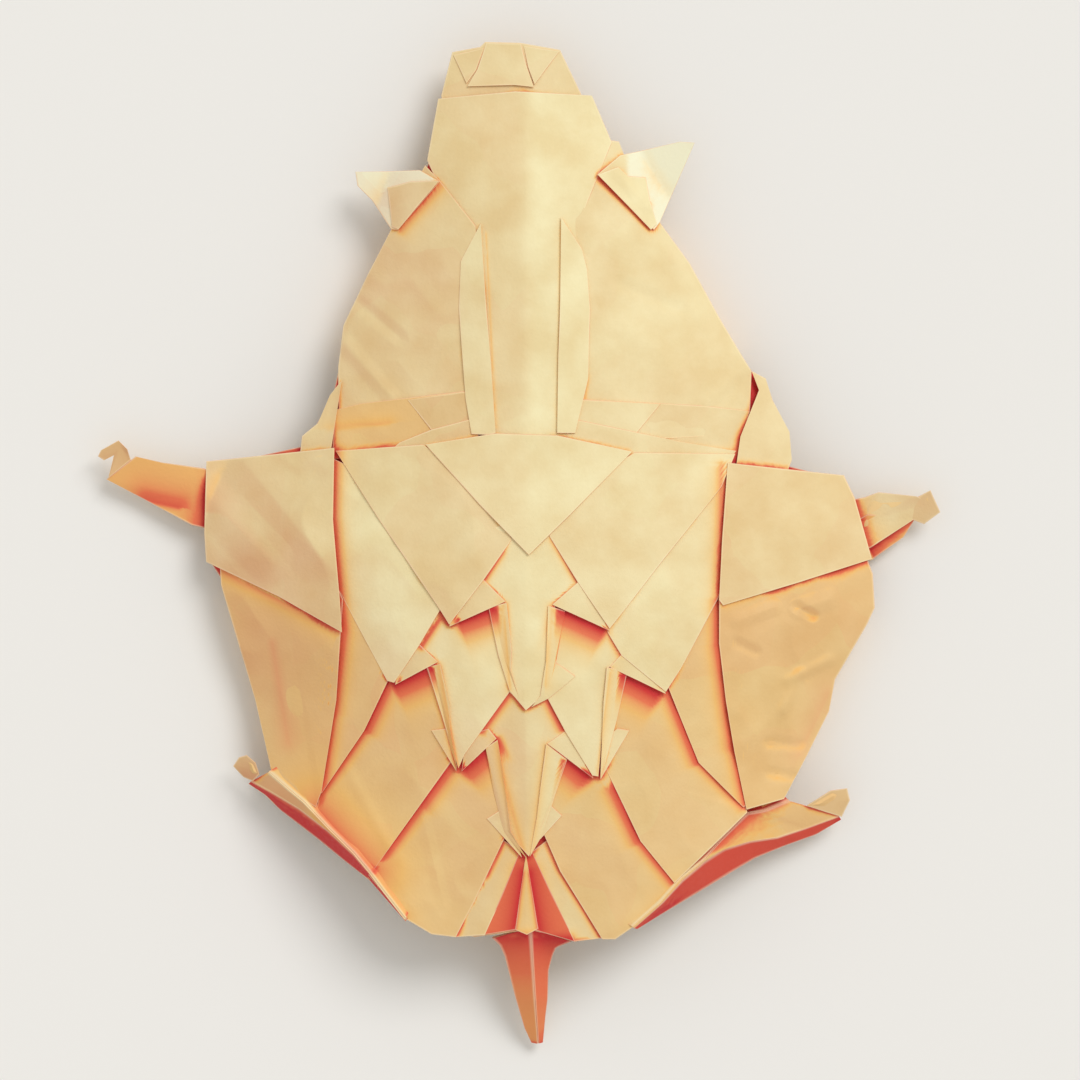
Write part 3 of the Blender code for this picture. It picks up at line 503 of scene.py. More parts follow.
LAPEL_LEFT = (
    (-9.4, 21.8, 3.2), (-5.8, 21.6, 3.6), (-4.6, 22.0, 3.8), (-5.6, 36.8, 2.9), (-6.6, 48.8, 2.6),
    (-7.6, 64.0, 1.9), (-11.6, 56.4, 1.5), (-12.0, 46.8, 1.7), (-10.6, 28.8, 2.6))
LAPEL_RIGHT = (
    (8.4, 65.2, 1.9), (8.2, 48.8, 2.6), (7.8, 36.8, 2.9), (7.6, 22.0, 3.8), (11.2, 22.0, 3.4),
    (13.8, 32.8, 2.6), (14.2, 46.8, 1.7), (13.6, 54.8, 1.5), (12.6, 58.8, 1.3))
add_leaf("head_folds", FOREHEAD, (0.3, 0.0), 0.4, painted_shade=-0.08, creases=HEAD_CREASES)
add_leaves("head_folds", ((CHEEK_LEFT, (0.45, 0.5), 1.3), (CHEEK_RIGHT, 0.2, 1.3)), creases=CHEEK_CREASES)
add_leaves("head_folds", ((LAPEL_LEFT, 0.15, 0.3, -0.06), (LAPEL_RIGHT, 0.0, 0.3, -0.06)))
print("folds of the head without the ears:", len(SHAPES["head_folds"]))

# %% [markdown]
# Each ear is a corner of the sheet turned over, so its reverse side shows white, with a cream flap
# folded across it.

# %% Ears
EAR_LEFT = (
    (-32.4, 71.8, 1.6), (-29.4, 68.8, 1.6), (-25.6, 63.0, 1.4), (-24.2, 62.8, 1.6), (-15.8, 72.4, 1.8),
    (-19.8, 74.8, 1.5), (-32.8, 74.6, 1.6))
EAR_FLAP_LEFT = (
    (-26.4, 71.4, 2.2), (-25.4, 63.4, 2.2), (-24.1, 62.9, 2.5), (-16.0, 72.5, 2.8), (-21.8, 72.5, 2.3))
EAR_RIGHT = (
    (20.2, 77.8, 1.4), (15.6, 73.8, 1.8), (27.0, 62.8, 1.6), (28.2, 64.4, 1.5), (35.2, 80.4, 1.8),
    (32.2, 80.6, 1.8))
EAR_FLAP_RIGHT = (
    (15.7, 73.8, 2.8), (26.4, 62.8, 2.5), (27.6, 64.0, 2.4), (26.2, 68.8, 2.5), (25.4, 73.4, 2.5),
    (21.8, 73.6, 2.5), (19.8, 75.4, 2.6))
EAR_CREASES = ((19.6, 74.4, 25.6, 67.6, 0.3, 1.6), (21.8, 73.6, 24.6, 68.4, -0.2, 1.4))
add_leaf("head_folds", EAR_LEFT, 0.5, 0.7, white=(-1.0, 0.0, -25.4))
add_leaf("head_folds", EAR_FLAP_LEFT, 0.35, 1.0, painted_shade=-0.05)
add_leaf("head_folds", EAR_RIGHT, 0.2, 0.1, white=(1.0, 0.0, 21.2))
add_leaf("head_folds", EAR_FLAP_RIGHT, 0.0, 0.0, painted_shade=-0.15, creases=EAR_CREASES)
print("folds of the head:", len(SHAPES["head_folds"]))

# %% [markdown]
# ## The neck and the collar
#
# Two pleats cross the neck like the rolls of a boar's neck, and the collar covers the first scales
# with a wide V. At the sides the pleats run under small pieces that stand up and hold them.

# %% Neck and collar
NECK_FRONT_LEFT = (
    (-8.0, 30.2, 1.6), (-11.2, 30.4, 1.7), (-31.8, 28.0, 1.0), (-36.8, 26.8, 0.9), (-37.4, 17.0, 0.3),
    (-8.0, 18.0, 1.2))
NECK_FRONT_RIGHT = (
    (46.2, 26.6, 0.9), (37.0, 27.6, 1.1), (13.2, 28.8, 1.7), (9.6, 29.0, 1.6), (9.6, 18.0, 1.2),
    (43.6, 16.0, 0.3))
NECK_FOLD_LEFT = (
    (-8.0, 30.1, 2.0), (-11.2, 30.3, 2.1), (-22.2, 28.7, 1.8), (-17.4, 22.6, 1.8), (-8.0, 23.0, 2.0))
NECK_FOLD_RIGHT = (
    (28.2, 27.9, 1.8), (13.2, 28.7, 2.1), (9.6, 28.9, 2.0), (9.6, 22.4, 2.0), (23.4, 22.0, 1.8))
NECK_REAR_LEFT = (
    (-8.0, 25.0, 2.6), (-9.8, 24.8, 2.6), (-17.4, 22.8, 2.4), (-23.8, 20.2, 2.0), (-33.0, 12.0, 1.4),
    (-8.0, 12.0, 2.0))
NECK_REAR_RIGHT = (
    (43.4, 18.6, 1.4), (32.2, 20.4, 1.8), (12.2, 24.6, 2.6), (9.6, 24.7, 2.6), (9.6, 12.0, 2.0),
    (38.0, 10.0, 1.4))
NECK_SIDE_LEFT = (
    (-43.8, 18.0, 0.8), (-43.4, 21.6, 1.2), (-40.2, 24.2, 1.4), (-37.8, 29.8, 1.6), (-35.4, 32.8, 1.4),
    (-37.6, 18.0, 3.0), (-40.0, 13.0, 1.0))
NECK_SIDE_RIGHT = (
    (44.2, 21.4, 3.0), (48.0, 30.8, 2.4), (46.6, 34.6, 1.6), (49.4, 33.2, 1.4), (50.8, 28.8, 1.4),
    (54.2, 22.4, 1.4), (54.6, 16.8, 1.4), (52.0, 10.0, 0.4), (42.8, 12.0, 1.4))
COLLAR = (
    (22.6, 18.4, 3.8), (7.6, 21.6, 4.2), (-4.6, 22.0, 4.2), (-18.6, 19.8, 3.8), (-7.8, 7.8, 4.8),
    (2.0, -2.2, 5.4), (10.2, 5.8, 4.8))
add_leaves("back_scales", (
    (NECK_FRONT_LEFT, 0.9, 1.3, 0.1), (NECK_FRONT_RIGHT, 0.3, 0.7), (NECK_FOLD_LEFT, 0.7, 0.3),
    (NECK_FOLD_RIGHT, 0.2, 0.3), (NECK_REAR_LEFT, 0.5, 0.4), (NECK_REAR_RIGHT, 0.2, 0.4)))
add_leaves("side_plates", ((NECK_SIDE_LEFT, 0.5, 0.6), (NECK_SIDE_RIGHT, 0.3, 0.6)))
add_leaf("back_scales", COLLAR, (0.15, 0.05), 0.4)
print("folds of neck and collar:", len(SHAPES["back_scales"]) + len(SHAPES["side_plates"]))

# %% [markdown]
# ## The scales of the back
#
# Four rows of pointed scales lie over one another from the collar to the tail. A scale is a
# triangle of paper with its lower edge turned under, and the turned part peeks out as a small
# triangle of its own. The middle scales lie in troughs between narrow bands with sharp ridges.

# %% Back scales
TILE_1_LEFT = (
    (-19.0, 19.8, 3.1), (-36.6, 18.6, 2.4), (-27.8, 4.8, 3.0), (-15.8, -12.8, 4.2), (-13.8, -16.0, 4.6),
    (-7.0, -7.2, 4.4), (-1.4, 0.8, 4.3), (-4.0, 9.0, 3.6))
TILE_1_RIGHT = (
    (6.0, 1.6, 4.3), (11.8, -7.8, 4.4), (18.0, -16.8, 4.6), (21.2, -12.8, 4.2), (28.2, -3.8, 3.6),
    (40.4, 11.4, 2.6), (43.2, 18.0, 2.4), (23.0, 18.2, 3.1), (7.4, 9.0, 3.6))
TILE_2_LEFT = (
    (-38.6, -6.0, 1.5), (-35.4, -10.2, 1.7), (-26.2, -27.2, 3.0), (-24.8, -27.6, 3.2),
    (-19.8, -20.2, 3.1), (-15.4, -12.8, 3.0), (-14.0, 6.0, 2.2), (-39.0, 18.0, 1.2))
TILE_2_RIGHT = (
    (17.6, -17.6, 3.0), (20.4, -22.2, 3.1), (29.2, -29.4, 3.2), (32.2, -24.8, 2.9), (39.8, -10.6, 1.8),
    (43.0, -4.0, 1.5), (43.6, 16.0, 1.2), (17.0, 6.0, 2.2))
TILE_2_MIDDLE = (
    (7.2, -12.4, 3.2), (7.4, -23.6, 3.0), (5.6, -29.4, 3.1), (1.4, -33.0, 3.4), (-1.8, -29.2, 3.1),
    (-4.0, -22.2, 3.0), (-6.0, -12.8, 3.2), (-10.0, -9.0, 3.0), (-8.0, 2.0, 3.4), (1.4, 6.0, 3.8),
    (9.0, 2.0, 3.4), (14.0, -9.0, 3.0))
TILE_3_LEFT = (
    (1.6, -26.0, 2.3), (-1.4, -28.8, 2.4), (-10.8, -41.8, 2.5), (-12.0, -44.6, 2.6), (-18.2, -24.8, 2.1),
    (-24.0, -20.0, 1.9), (-22.0, -10.0, 1.6), (0.0, -10.0, 1.8))
TILE_3_RIGHT = (
    (24.0, -19.6, 1.9), (17.8, -24.6, 2.1), (15.8, -46.2, 2.6), (14.6, -46.0, 2.5), (9.2, -37.2, 2.4),
    (4.6, -28.6, 2.4), (2.6, -24.0, 2.2), (4.0, -10.0, 1.8), (24.0, -10.0, 1.6))
TILE_4 = (
    (9.4, -42.6, 1.3), (6.6, -51.2, 1.1), (2.0, -62.2, 1.7), (-2.8, -57.0, 1.1), (-6.2, -40.2, 1.3),
    (-12.0, -40.0, 1.2), (-11.0, -28.0, 1.2), (14.0, -28.0, 1.2), (15.0, -42.0, 1.2))
SPINE = ((1.4, 20.0, 1.4, -78.0, 0.22, 5.0),)
add_leaves("back_scales", (
    (TILE_1_LEFT, (0.35, 0.25), 1.5), (TILE_1_RIGHT, 0.15, 0.8), (TILE_2_LEFT, (0.0, 0.1), 1.3),
    (TILE_2_RIGHT, 0.1, 0.9)))
add_leaf("back_scales", TILE_2_MIDDLE, (0.1, 0.0), 0.4, creases=SPINE)
add_leaves("back_scales", ((TILE_3_LEFT, (0.05, 0.1), 0.8), (TILE_3_RIGHT, (0.05, 0.1), 0.8)))
add_leaf("back_scales", TILE_4, (0.45, 0.3), 0.4, creases=SPINE)
print("folds of the back so far:", len(SHAPES["back_scales"]))

# %% [markdown]
# The bands beside the middle scales are the raised edges of their pleats.

# %% Bands
BAND_2_LEFT = (
    (0.4, -31.6, 3.6), (-1.6, -25.2, 4.2), (-1.4, -21.2, 4.4), (-2.4, -11.6, 4.2), (-6.0, -12.4, 3.0),
    (-4.2, -22.2, 2.4), (-1.8, -29.4, 2.6))
BAND_2_RIGHT = (
    (5.8, -12.2, 4.2), (5.4, -23.2, 4.4), (4.2, -30.2, 4.0), (2.4, -32.4, 3.6), (6.0, -30.6, 3.2),
    (11.2, -26.2, 3.0), (7.4, -23.4, 2.4), (9.2, -13.2, 3.0))
BAND_3_LEFT = (
    (-12.2, -44.8, 3.2), (-13.6, -37.2, 3.6), (-13.8, -31.8, 3.7), (-15.6, -23.8, 3.3),
    (-18.4, -24.4, 1.9), (-15.8, -32.2, 1.4), (-13.6, -40.4, 1.8))
BAND_3_RIGHT = (
    (17.4, -24.4, 3.3), (16.8, -31.2, 3.7), (16.2, -46.4, 3.2), (17.0, -44.2, 2.2), (19.4, -35.2, 1.5),
    (21.6, -25.2, 1.9))
BAND_4_LEFT = (
    (1.6, -62.6, 2.4), (-1.6, -57.2, 2.7), (-3.2, -45.2, 2.7), (-4.2, -38.8, 2.5), (-6.6, -40.4, 1.5),
    (-5.0, -49.2, 0.8), (-3.0, -57.4, 0.9))
BAND_4_RIGHT = (
    (5.4, -39.6, 2.5), (4.4, -47.2, 2.7), (3.6, -54.2, 2.7), (2.2, -62.2, 2.4), (4.4, -58.4, 0.9),
    (6.8, -51.2, 0.8), (9.6, -42.8, 1.5))
for band in (BAND_2_LEFT, BAND_2_RIGHT, BAND_3_LEFT, BAND_3_RIGHT, BAND_4_LEFT, BAND_4_RIGHT):
    add_leaf("back_scales", band, (0.3, 0.15), 0.2)
print("folds with the bands:", len(SHAPES["back_scales"]))

# %% [markdown]
# The small triangles are the paper that turned under a scale and shows beside its point.

# %% Turned corners
TURNED_1_LEFT = ((-13.8, -16.4, 4.0), (-2.6, -11.4, 4.0), (-7.0, -7.0, 3.9), (-12.0, -9.0, 3.4))
TURNED_1_RIGHT = ((11.6, -7.6, 3.9), (6.6, -12.0, 4.0), (18.0, -17.2, 4.0), (17.0, -9.0, 3.4))
TURNED_2_LEFT = ((-24.6, -28.0, 2.7), (-16.0, -23.4, 2.7), (-19.6, -20.0, 2.7), (-24.0, -21.0, 2.2))
TURNED_2_RIGHT = ((20.2, -22.0, 2.7), (18.0, -24.4, 2.7), (29.2, -29.8, 2.7), (27.0, -22.0, 2.2))
TURNED_3_LEFT = ((-11.4, -45.2, 1.9), (-4.4, -38.6, 1.9), (-6.0, -36.6, 1.8), (-10.5, -38.0, 1.4))
TURNED_3_RIGHT = ((9.0, -37.2, 1.8), (5.6, -39.6, 1.9), (14.8, -46.6, 1.9), (13.0, -38.0, 1.4))
EARLET_3_LEFT = ((-12.4, -45.2, 1.9), (-17.4, -37.0, 1.5), (-14.4, -36.6, 1.6), (-12.5, -39.0, 0.8))
EARLET_3_RIGHT = ((19.6, -36.6, 1.5), (22.0, -37.0, 1.5), (16.2, -46.8, 1.9), (16.2, -39.0, 0.8))
EARLET_4_LEFT = ((0.6, -62.4, 1.4), (-6.4, -54.6, 0.9), (-3.6, -52.8, 0.9), (-1.5, -55.0, 0.0))
EARLET_4_RIGHT = ((5.8, -51.4, 0.9), (8.6, -54.0, 0.9), (4.0, -59.0, 1.2), (3.8, -54.0, 0.0))
for corner in (TURNED_1_LEFT, TURNED_1_RIGHT, TURNED_2_LEFT, TURNED_2_RIGHT, TURNED_3_LEFT,
               TURNED_3_RIGHT, EARLET_3_LEFT, EARLET_3_RIGHT, EARLET_4_LEFT, EARLET_4_RIGHT):
    add_leaf("back_scales", corner, (0.4, 0.2), 0.3)
print("folds of the back:", len(SHAPES["back_scales"]))

# %% [markdown]
# ## Shoulders and flanks
#
# Four large plates close the sides. The shoulders lie on the flanks, and all of them stand a little
# off the scales, so a red line of painted shade runs along the gap. The flanks were folded over and
# over and are crumpled most. A crease with a negative height is a furrow.

# %% Side plates
SHOULDER_LEFT = (
    (-36.8, 19.2, 4.0), (-62.8, 16.6, 1.6), (-63.2, 2.2, 1.4), (-62.8, -3.6, 1.6), (-47.8, -10.6, 3.0),
    (-35.2, -17.6, 4.6), (-35.6, -11.2, 4.6), (-37.0, 4.8, 4.6))
SHOULDER_RIGHT = (
    (39.8, -11.2, 4.4), (40.6, -12.2, 4.4), (56.2, -7.6, 3.0), (70.8, -3.0, 1.4), (67.4, 9.2, 1.4),
    (65.2, 13.8, 1.6), (41.6, 16.2, 4.0), (40.4, 0.8, 4.4))
FLANK_LEFT = (
    (-35.0, -11.0, 2.6), (-36.4, -31.2, 3.2), (-39.4, -49.4, 2.2), (-40.6, -52.6, 1.4),
    (-43.2, -51.0, 1.4), (-49.6, -45.6, 1.0), (-53.0, -31.2, 0.6), (-59.8, -8.2, 0.4),
    (-60.4, 2.0, -0.2), (-40.0, 0.0, 2.0))
FLANK_RIGHT = (
    (71.0, -6.0, 0.3), (71.4, -12.8, 0.5), (69.8, -16.2, 0.5), (63.4, -27.2, 0.5), (62.2, -33.6, 0.5),
    (57.8, -42.2, 0.7), (53.0, -51.0, 1.1), (45.4, -53.0, 2.4), (42.9, -41.2, 3.4), (41.2, -31.2, 3.8),
    (39.8, -19.8, 3.8), (39.8, -10.0, 3.0), (44.0, 0.0, 2.0), (68.0, 2.0, -0.2))
SHOULDER_CREASES = ((-62.8, 9.8, -49.8, -3.2, 0.5, 5.0), (-55.0, 16.6, -40.0, -2.0, 0.4, 6.0))
FLANK_CREASES = (
    (56.0, -13.0, 62.0, -11.0, 0.5, 2.5), (52.0, -27.0, 56.0, -46.0, 0.4, 4.0),
    (43.4, -19.8, 47.2, -21.6, -0.5, 1.5), (53.6, -27.2, 62.2, -23.2, 0.6, 1.6),
    (49.6, -39.8, 56.2, -40.2, -0.6, 1.5), (50.2, -45.8, 54.8, -46.6, -0.6, 1.4),
    (55.6, -12.6, 58.8, -14.4, -0.7, 1.5), (52.8, -33.2, 56.2, -25.8, 0.5, 1.6),
    (43.6, -15.2, 50.8, -12.6, 0.5, 2.0))
add_leaf("side_plates", FLANK_LEFT, 0.85, 2.2, painted_shade=0.08)
add_leaf("side_plates", FLANK_RIGHT, (0.8, 0.9), 2.4, painted_shade=0.06, creases=FLANK_CREASES)
add_leaf("side_plates", SHOULDER_LEFT, (0.4, 0.45), 2.0, creases=SHOULDER_CREASES)
add_leaf("side_plates", SHOULDER_RIGHT, 0.5, 1.5)
print("folds of the sides:", len(SHAPES["side_plates"]))

# %% [markdown]
# ## The rump
#
# Behind the scales, three panels on each side run out to the raised rim of the rump. They overlap
# like the slats of a fan, the outer one on top, and hollow out between the back and the rim.

# %% Rump
RUMP_A_LEFT = (
    (-25.6, -26.4, 1.8), (-30.8, -37.2, 2.2), (-39.4, -49.8, 2.0), (-41.0, -49.0, 0.9),
    (-41.0, -20.0, 0.9), (-38.6, -8.0, 0.9), (-24.0, -16.0, 0.9))
RUMP_A_RIGHT = (
    (44.8, -52.6, 2.0), (35.8, -43.6, 2.2), (29.6, -28.4, 1.8), (28.0, -16.0, 0.9), (43.0, -8.0, 0.9),
    (46.0, -20.0, 0.9), (47.0, -51.0, 0.9))
RUMP_B_LEFT = (
    (-13.2, -43.0, 0.9), (-19.8, -52.2, 1.0), (-29.4, -65.6, 1.6), (-40.6, -53.8, 1.6),
    (-39.8, -49.0, 0.2), (-31.6, -36.0, 0.2), (-26.0, -22.0, 0.2), (-14.0, -24.0, 0.5),
    (-11.0, -38.0, 0.8))
RUMP_B_RIGHT = (
    (45.6, -53.6, 1.6), (31.0, -67.6, 1.6), (24.2, -59.2, 1.0), (17.2, -44.6, 0.9), (15.6, -40.0, 0.8),
    (17.0, -25.0, 0.5), (29.0, -24.0, 0.2), (36.6, -42.0, 0.2), (45.0, -51.6, 0.2))
RUMP_C_LEFT = (
    (-2.4, -57.6, 0.3), (-8.8, -71.2, 0.6), (-12.6, -78.4, 1.0), (-17.4, -77.8, 1.5),
    (-22.8, -74.6, 1.5), (-30.0, -66.0, 0.8), (-20.6, -51.0, 0.1), (-14.0, -39.0, 0.1),
    (-3.0, -40.0, 0.1), (-1.6, -50.0, 0.1))
RUMP_C_RIGHT = (
    (31.6, -67.8, 0.8), (23.6, -75.8, 1.5), (19.2, -78.8, 1.5), (16.6, -78.8, 1.0), (8.2, -65.2, 0.6),
    (4.8, -57.4, 0.3), (4.6, -50.0, 0.1), (6.0, -40.0, 0.1), (18.0, -40.0, 0.1), (25.2, -58.0, 0.1))
FAN_CREASES = ((-34.4, -44.6, -25.8, -60.4, 0.2, 1.6), (-19.4, -53.0, -15.0, -72.0, 0.12, 1.6))
for panel in (RUMP_C_LEFT, RUMP_C_RIGHT, RUMP_B_LEFT, RUMP_B_RIGHT, RUMP_A_LEFT, RUMP_A_RIGHT):
    add_leaf("rump_folds", panel, (0.75, 0.7), 1.5, painted_shade=0.06, creases=FAN_CREASES)
print("panels of the rump:", len(SHAPES["rump_folds"]))

# %% [markdown]
# Between the innermost panels lies the root of the tail: a strip at each side and a hollow painted
# red as shade, with one narrow ridge in its middle.

# %% Root of the tail
ROOT_STRIP_LEFT = (
    (-4.4, -58.0, -0.9), (-14.2, -77.4, -0.5), (-12.8, -78.4, 0.1), (-6.8, -78.0, 0.2),
    (0.8, -61.4, -0.2))
ROOT_STRIP_RIGHT = (
    (2.2, -61.4, -0.2), (11.0, -79.3, 0.2), (16.6, -78.6, 0.1), (18.0, -77.6, -0.5), (6.8, -58.0, -0.9))
ROOT_FACETS = (
    (1.4, -58.0, -0.2), (-0.2, -62.0, 0.0), (-6.9, -77.9, 0.1), (1.6, -76.6, -0.6), (11.2, -79.3, 0.1),
    (3.0, -62.0, 0.0))
ROOT_MIDDLE = ((1.4, -61.6, 0.2), (-0.8, -76.9, -0.3), (1.6, -77.9, 0.4), (3.9, -76.7, -0.3))
add_leaves("rump_folds", (
    (ROOT_STRIP_LEFT, 0.5, 0.2), (ROOT_STRIP_RIGHT, 0.4, 0.2), (ROOT_FACETS, 1.0, 0.2, 0.48)))
add_leaf("rump_folds", ROOT_MIDDLE, 0.6, 0.2, painted_shade=0.1, creases=SPINE)
print("folds of the rump:", len(SHAPES["rump_folds"]))

# %% [markdown]
# ## Legs and tail
#
# The front legs are flat points of paper, the hind legs stand up as pleats whose outer side is
# turned away from the light and painted red as shade, and the tail is a narrow pleat, painted in
# shade too, with a ridge that comes down to the table. Their numbers are heights above the table, not
# layers, since they leave the dome.

# %% Front legs and hooves
LEG_FRONT_LEFT = (
    (-58.0, 12.0, 5.4), (-63.2, 15.2, 6.0), (-71.8, 16.4, 6.0), (-77.0, 17.6, 6.0), (-83.0, 13.0, 4.4),
    (-75.8, 9.2, 4.0), (-65.8, 3.8, 4.8), (-58.0, 2.0, 5.4))
HOOF_FRONT_LEFT = (
    (-84.6, 17.6, 5.8), (-84.0, 18.8, 6.2), (-80.4, 20.8, 6.8), (-78.6, 19.0, 6.8), (-78.0, 16.8, 5.6),
    (-82.6, 13.2, 4.9), (-82.0, 15.4, 5.2), (-81.4, 17.8, 5.8), (-83.4, 16.8, 5.4))
LEG_FRONT_RIGHT = (
    (62.0, 8.0, 5.0), (69.4, 9.4, 5.4), (72.2, 10.4, 6.0), (79.8, 9.6, 6.0), (83.0, 8.4, 5.0),
    (79.8, 5.2, 4.6), (70.6, -0.8, 5.0), (62.0, -2.0, 5.0))
LEG_UNDER_RIGHT = (
    (63.0, 2.0, 4.6), (70.0, 6.0, 5.6), (79.6, 5.0, 3.8), (77.4, 1.4, 3.0), (71.0, -3.2, 3.2),
    (63.0, -4.0, 4.4))
HOOF_FRONT_RIGHT = (
    (78.8, 8.8, 5.2), (82.6, 10.8, 6.2), (84.6, 6.4, 5.8), (81.4, 4.0, 4.8), (77.6, 5.4, 4.4))
HOOF_HIND_LEFT = (
    (-57.4, -44.6, 6.6), (-56.2, -42.8, 7.6), (-54.6, -42.3, 8.4), (-52.8, -43.8, 9.0),
    (-52.0, -46.2, 9.2), (-53.4, -47.6, 7.2), (-55.4, -46.8, 6.0))
HOOF_HIND_RIGHT = (
    (57.6, -52.4, 9.6), (62.4, -49.4, 9.2), (65.8, -49.0, 7.8), (66.4, -51.4, 7.2), (64.8, -54.8, 6.0),
    (61.6, -53.8, 7.6))
add_leaves("legs_and_tail", (
    (LEG_FRONT_LEFT, 0.7, 0.6, 0.24), (HOOF_FRONT_LEFT, 0.8, 0.3), (LEG_UNDER_RIGHT, 0.7, 0.6, 0.1),
    (LEG_FRONT_RIGHT, 0.35, 0.6), (HOOF_FRONT_RIGHT, 0.4, 0.3), (HOOF_HIND_LEFT, 0.7, 0.3),
    (HOOF_HIND_RIGHT, 0.6, 0.3)), flat=True)
print("flat legs and hooves:", len(SHAPES["legs_and_tail"]))

# %% [markdown]
# A row of a hind leg or of the tail is a strip between two of the lines above it, with its tanner tone
# and its painted shade.

# %% Hind legs and tail
HIND_LEFT_INNER = (
    (-45.5, -43.0, 9.6), (-40.0, -48.6, 11.6), (-31.0, -58.6, 15.0), (-21.5, -72.0, 16.0))
HIND_LEFT_CREST = (
    (-50.0, -45.6, 9.6), (-45.8, -49.2, 12.0), (-42.8, -51.6, 13.6), (-37.8, -56.8, 15.4),
    (-32.8, -61.6, 17.0), (-29.8, -65.2, 17.4), (-26.8, -69.2, 17.7), (-22.6, -74.6, 17.8))
HIND_LEFT_BEND = (
    (-53.6, -47.6, 6.0), (-49.2, -49.8, 9.0), (-43.8, -52.8, 12.0), (-37.9, -57.1, 15.1),
    (-32.7, -61.9, 16.6), (-29.7, -65.4, 17.1), (-26.7, -69.4, 17.4), (-22.5, -74.7, 17.6))
HIND_LEFT_FOOT = (
    (-54.2, -48.0, 4.6), (-50.8, -50.2, 5.4), (-47.8, -53.2, 6.0), (-39.8, -59.2, 8.4),
    (-34.8, -63.2, 10.2), (-29.8, -66.9, 12.6), (-22.4, -75.0, 17.0))
HIND_RIGHT_INNER = (
    (50.0, -48.0, 9.6), (44.0, -53.0, 11.6), (38.0, -58.0, 13.4), (30.0, -65.5, 15.4),
    (20.0, -75.0, 16.2))
HIND_RIGHT_CREST = (
    (54.0, -51.4, 10.2), (49.2, -53.3, 11.8), (45.4, -53.9, 12.8), (40.2, -59.2, 14.4),
    (37.2, -62.6, 15.8), (32.2, -66.7, 17.0), (28.2, -71.2, 17.5), (22.6, -76.2, 17.6))
HIND_RIGHT_BEND = (
    (64.2, -54.6, 5.6), (56.8, -57.2, 6.8), (51.6, -58.8, 8.6), (46.2, -59.4, 11.2), (40.8, -60.8, 13.8),
    (36.8, -63.3, 15.6), (32.4, -67.0, 16.8), (28.4, -71.4, 17.3), (22.8, -76.4, 17.4))
HIND_RIGHT_FOOT = (
    (64.6, -55.2, 4.6), (59.6, -58.2, 4.8), (53.2, -60.4, 6.0), (47.2, -62.8, 8.0), (36.2, -69.2, 11.4),
    (28.2, -73.8, 13.8), (23.4, -76.6, 16.6))
TAIL_EDGE_LEFT = (
    (-5.2, -78.6, 14.0), (-3.8, -80.0, 13.0), (-2.8, -82.2, 11.6), (-0.8, -90.2, 7.6), (1.2, -97.2, 4.0),
    (2.6, -100.2, 2.2))
TAIL_RIDGE = ((2.2, -76.5, 16.2), (2.4, -78.4, 15.2), (3.2, -91.2, 9.0), (3.8, -100.4, 2.9))
TAIL_EDGE_RIGHT = (
    (10.4, -79.2, 14.0), (7.4, -80.4, 12.6), (6.6, -82.2, 11.6), (5.8, -85.2, 10.4), (5.6, -91.2, 7.6),
    (5.2, -94.4, 5.8), (4.6, -100.2, 2.2))
for first, second, tan_and_shade, painted_shade in (
        (HIND_LEFT_INNER, HIND_LEFT_CREST, 0.6, 0.0), (HIND_LEFT_CREST, HIND_LEFT_BEND, 0.7, 0.05),
        (HIND_LEFT_BEND, HIND_LEFT_FOOT, 1.0, 0.6), (HIND_RIGHT_INNER, HIND_RIGHT_CREST, 0.6, 0.0),
        (HIND_RIGHT_CREST, HIND_RIGHT_BEND, 0.8, 0.1), (HIND_RIGHT_BEND, HIND_RIGHT_FOOT, 1.0, 0.85),
        (TAIL_EDGE_LEFT, TAIL_RIDGE, 1.0, 0.36), (TAIL_RIDGE, TAIL_EDGE_RIGHT, 1.0, 0.44)):
    add_pleat("legs_and_tail", [first, second], tan_and_shade, painted_shade=painted_shade)
print("folds of legs and tail:", len(SHAPES["legs_and_tail"]))

# %% [markdown]
# ## Where the light doesn't reach
#
# Deep between folds, light has passed through paper several times and comes out orange, then red;
# that light and shade are painted into the paper's colour here.
# To know how deep a point lies, we lay all the folds into one height map and look round from every
# point: the steeper the paper rises about it, the less sky is left. A few directions and distances
# are enough, each as one array sum over all the points.

# %% Height map of the whole boar
CELL = 0.4             # width of a cell of the map, in millimetres
HALF_MAP = 110.0       # how far the map reaches to each side
QUARTERS = (0.0, 0.25, 0.5, 0.75)
height_map = np.zeros((int(2 * HALF_MAP / CELL), int(2 * HALF_MAP / CELL)))


def cell_of(values):
    """The map's cell for places along one axis, kept on the map."""
    return np.clip(((values + HALF_MAP) / CELL).astype(int), 0, len(height_map) - 1)


def lay_in(rings):
    """Fills each quad of a grid with 4 x 4 points and keeps the highest at each cell."""
    here, onward = rings[:-1], rings[1:]
    here_next, onward_next = np.roll(here, -1, axis=1), np.roll(onward, -1, axis=1)
    for u in QUARTERS:
        for v in QUARTERS:
            points = (here * (1 - v) + here_next * v) * (1 - u) + (onward * (1 - v) + onward_next * v) * u
            spots = (cell_of(points[..., 0]).ravel(), cell_of(points[..., 1]).ravel())
            np.maximum.at(height_map, spots, points[..., 2].ravel())


for folds in SHAPES.values():
    for rings, tone in folds:
        lay_in(rings)
print("highest point of the map:", height_map.max().round(1), "mm")

# %% [markdown]
# The rise is measured from the point's own plane, so a slope by itself doesn't count as a hollow.
# The side that the key light comes from counts more than the far side.

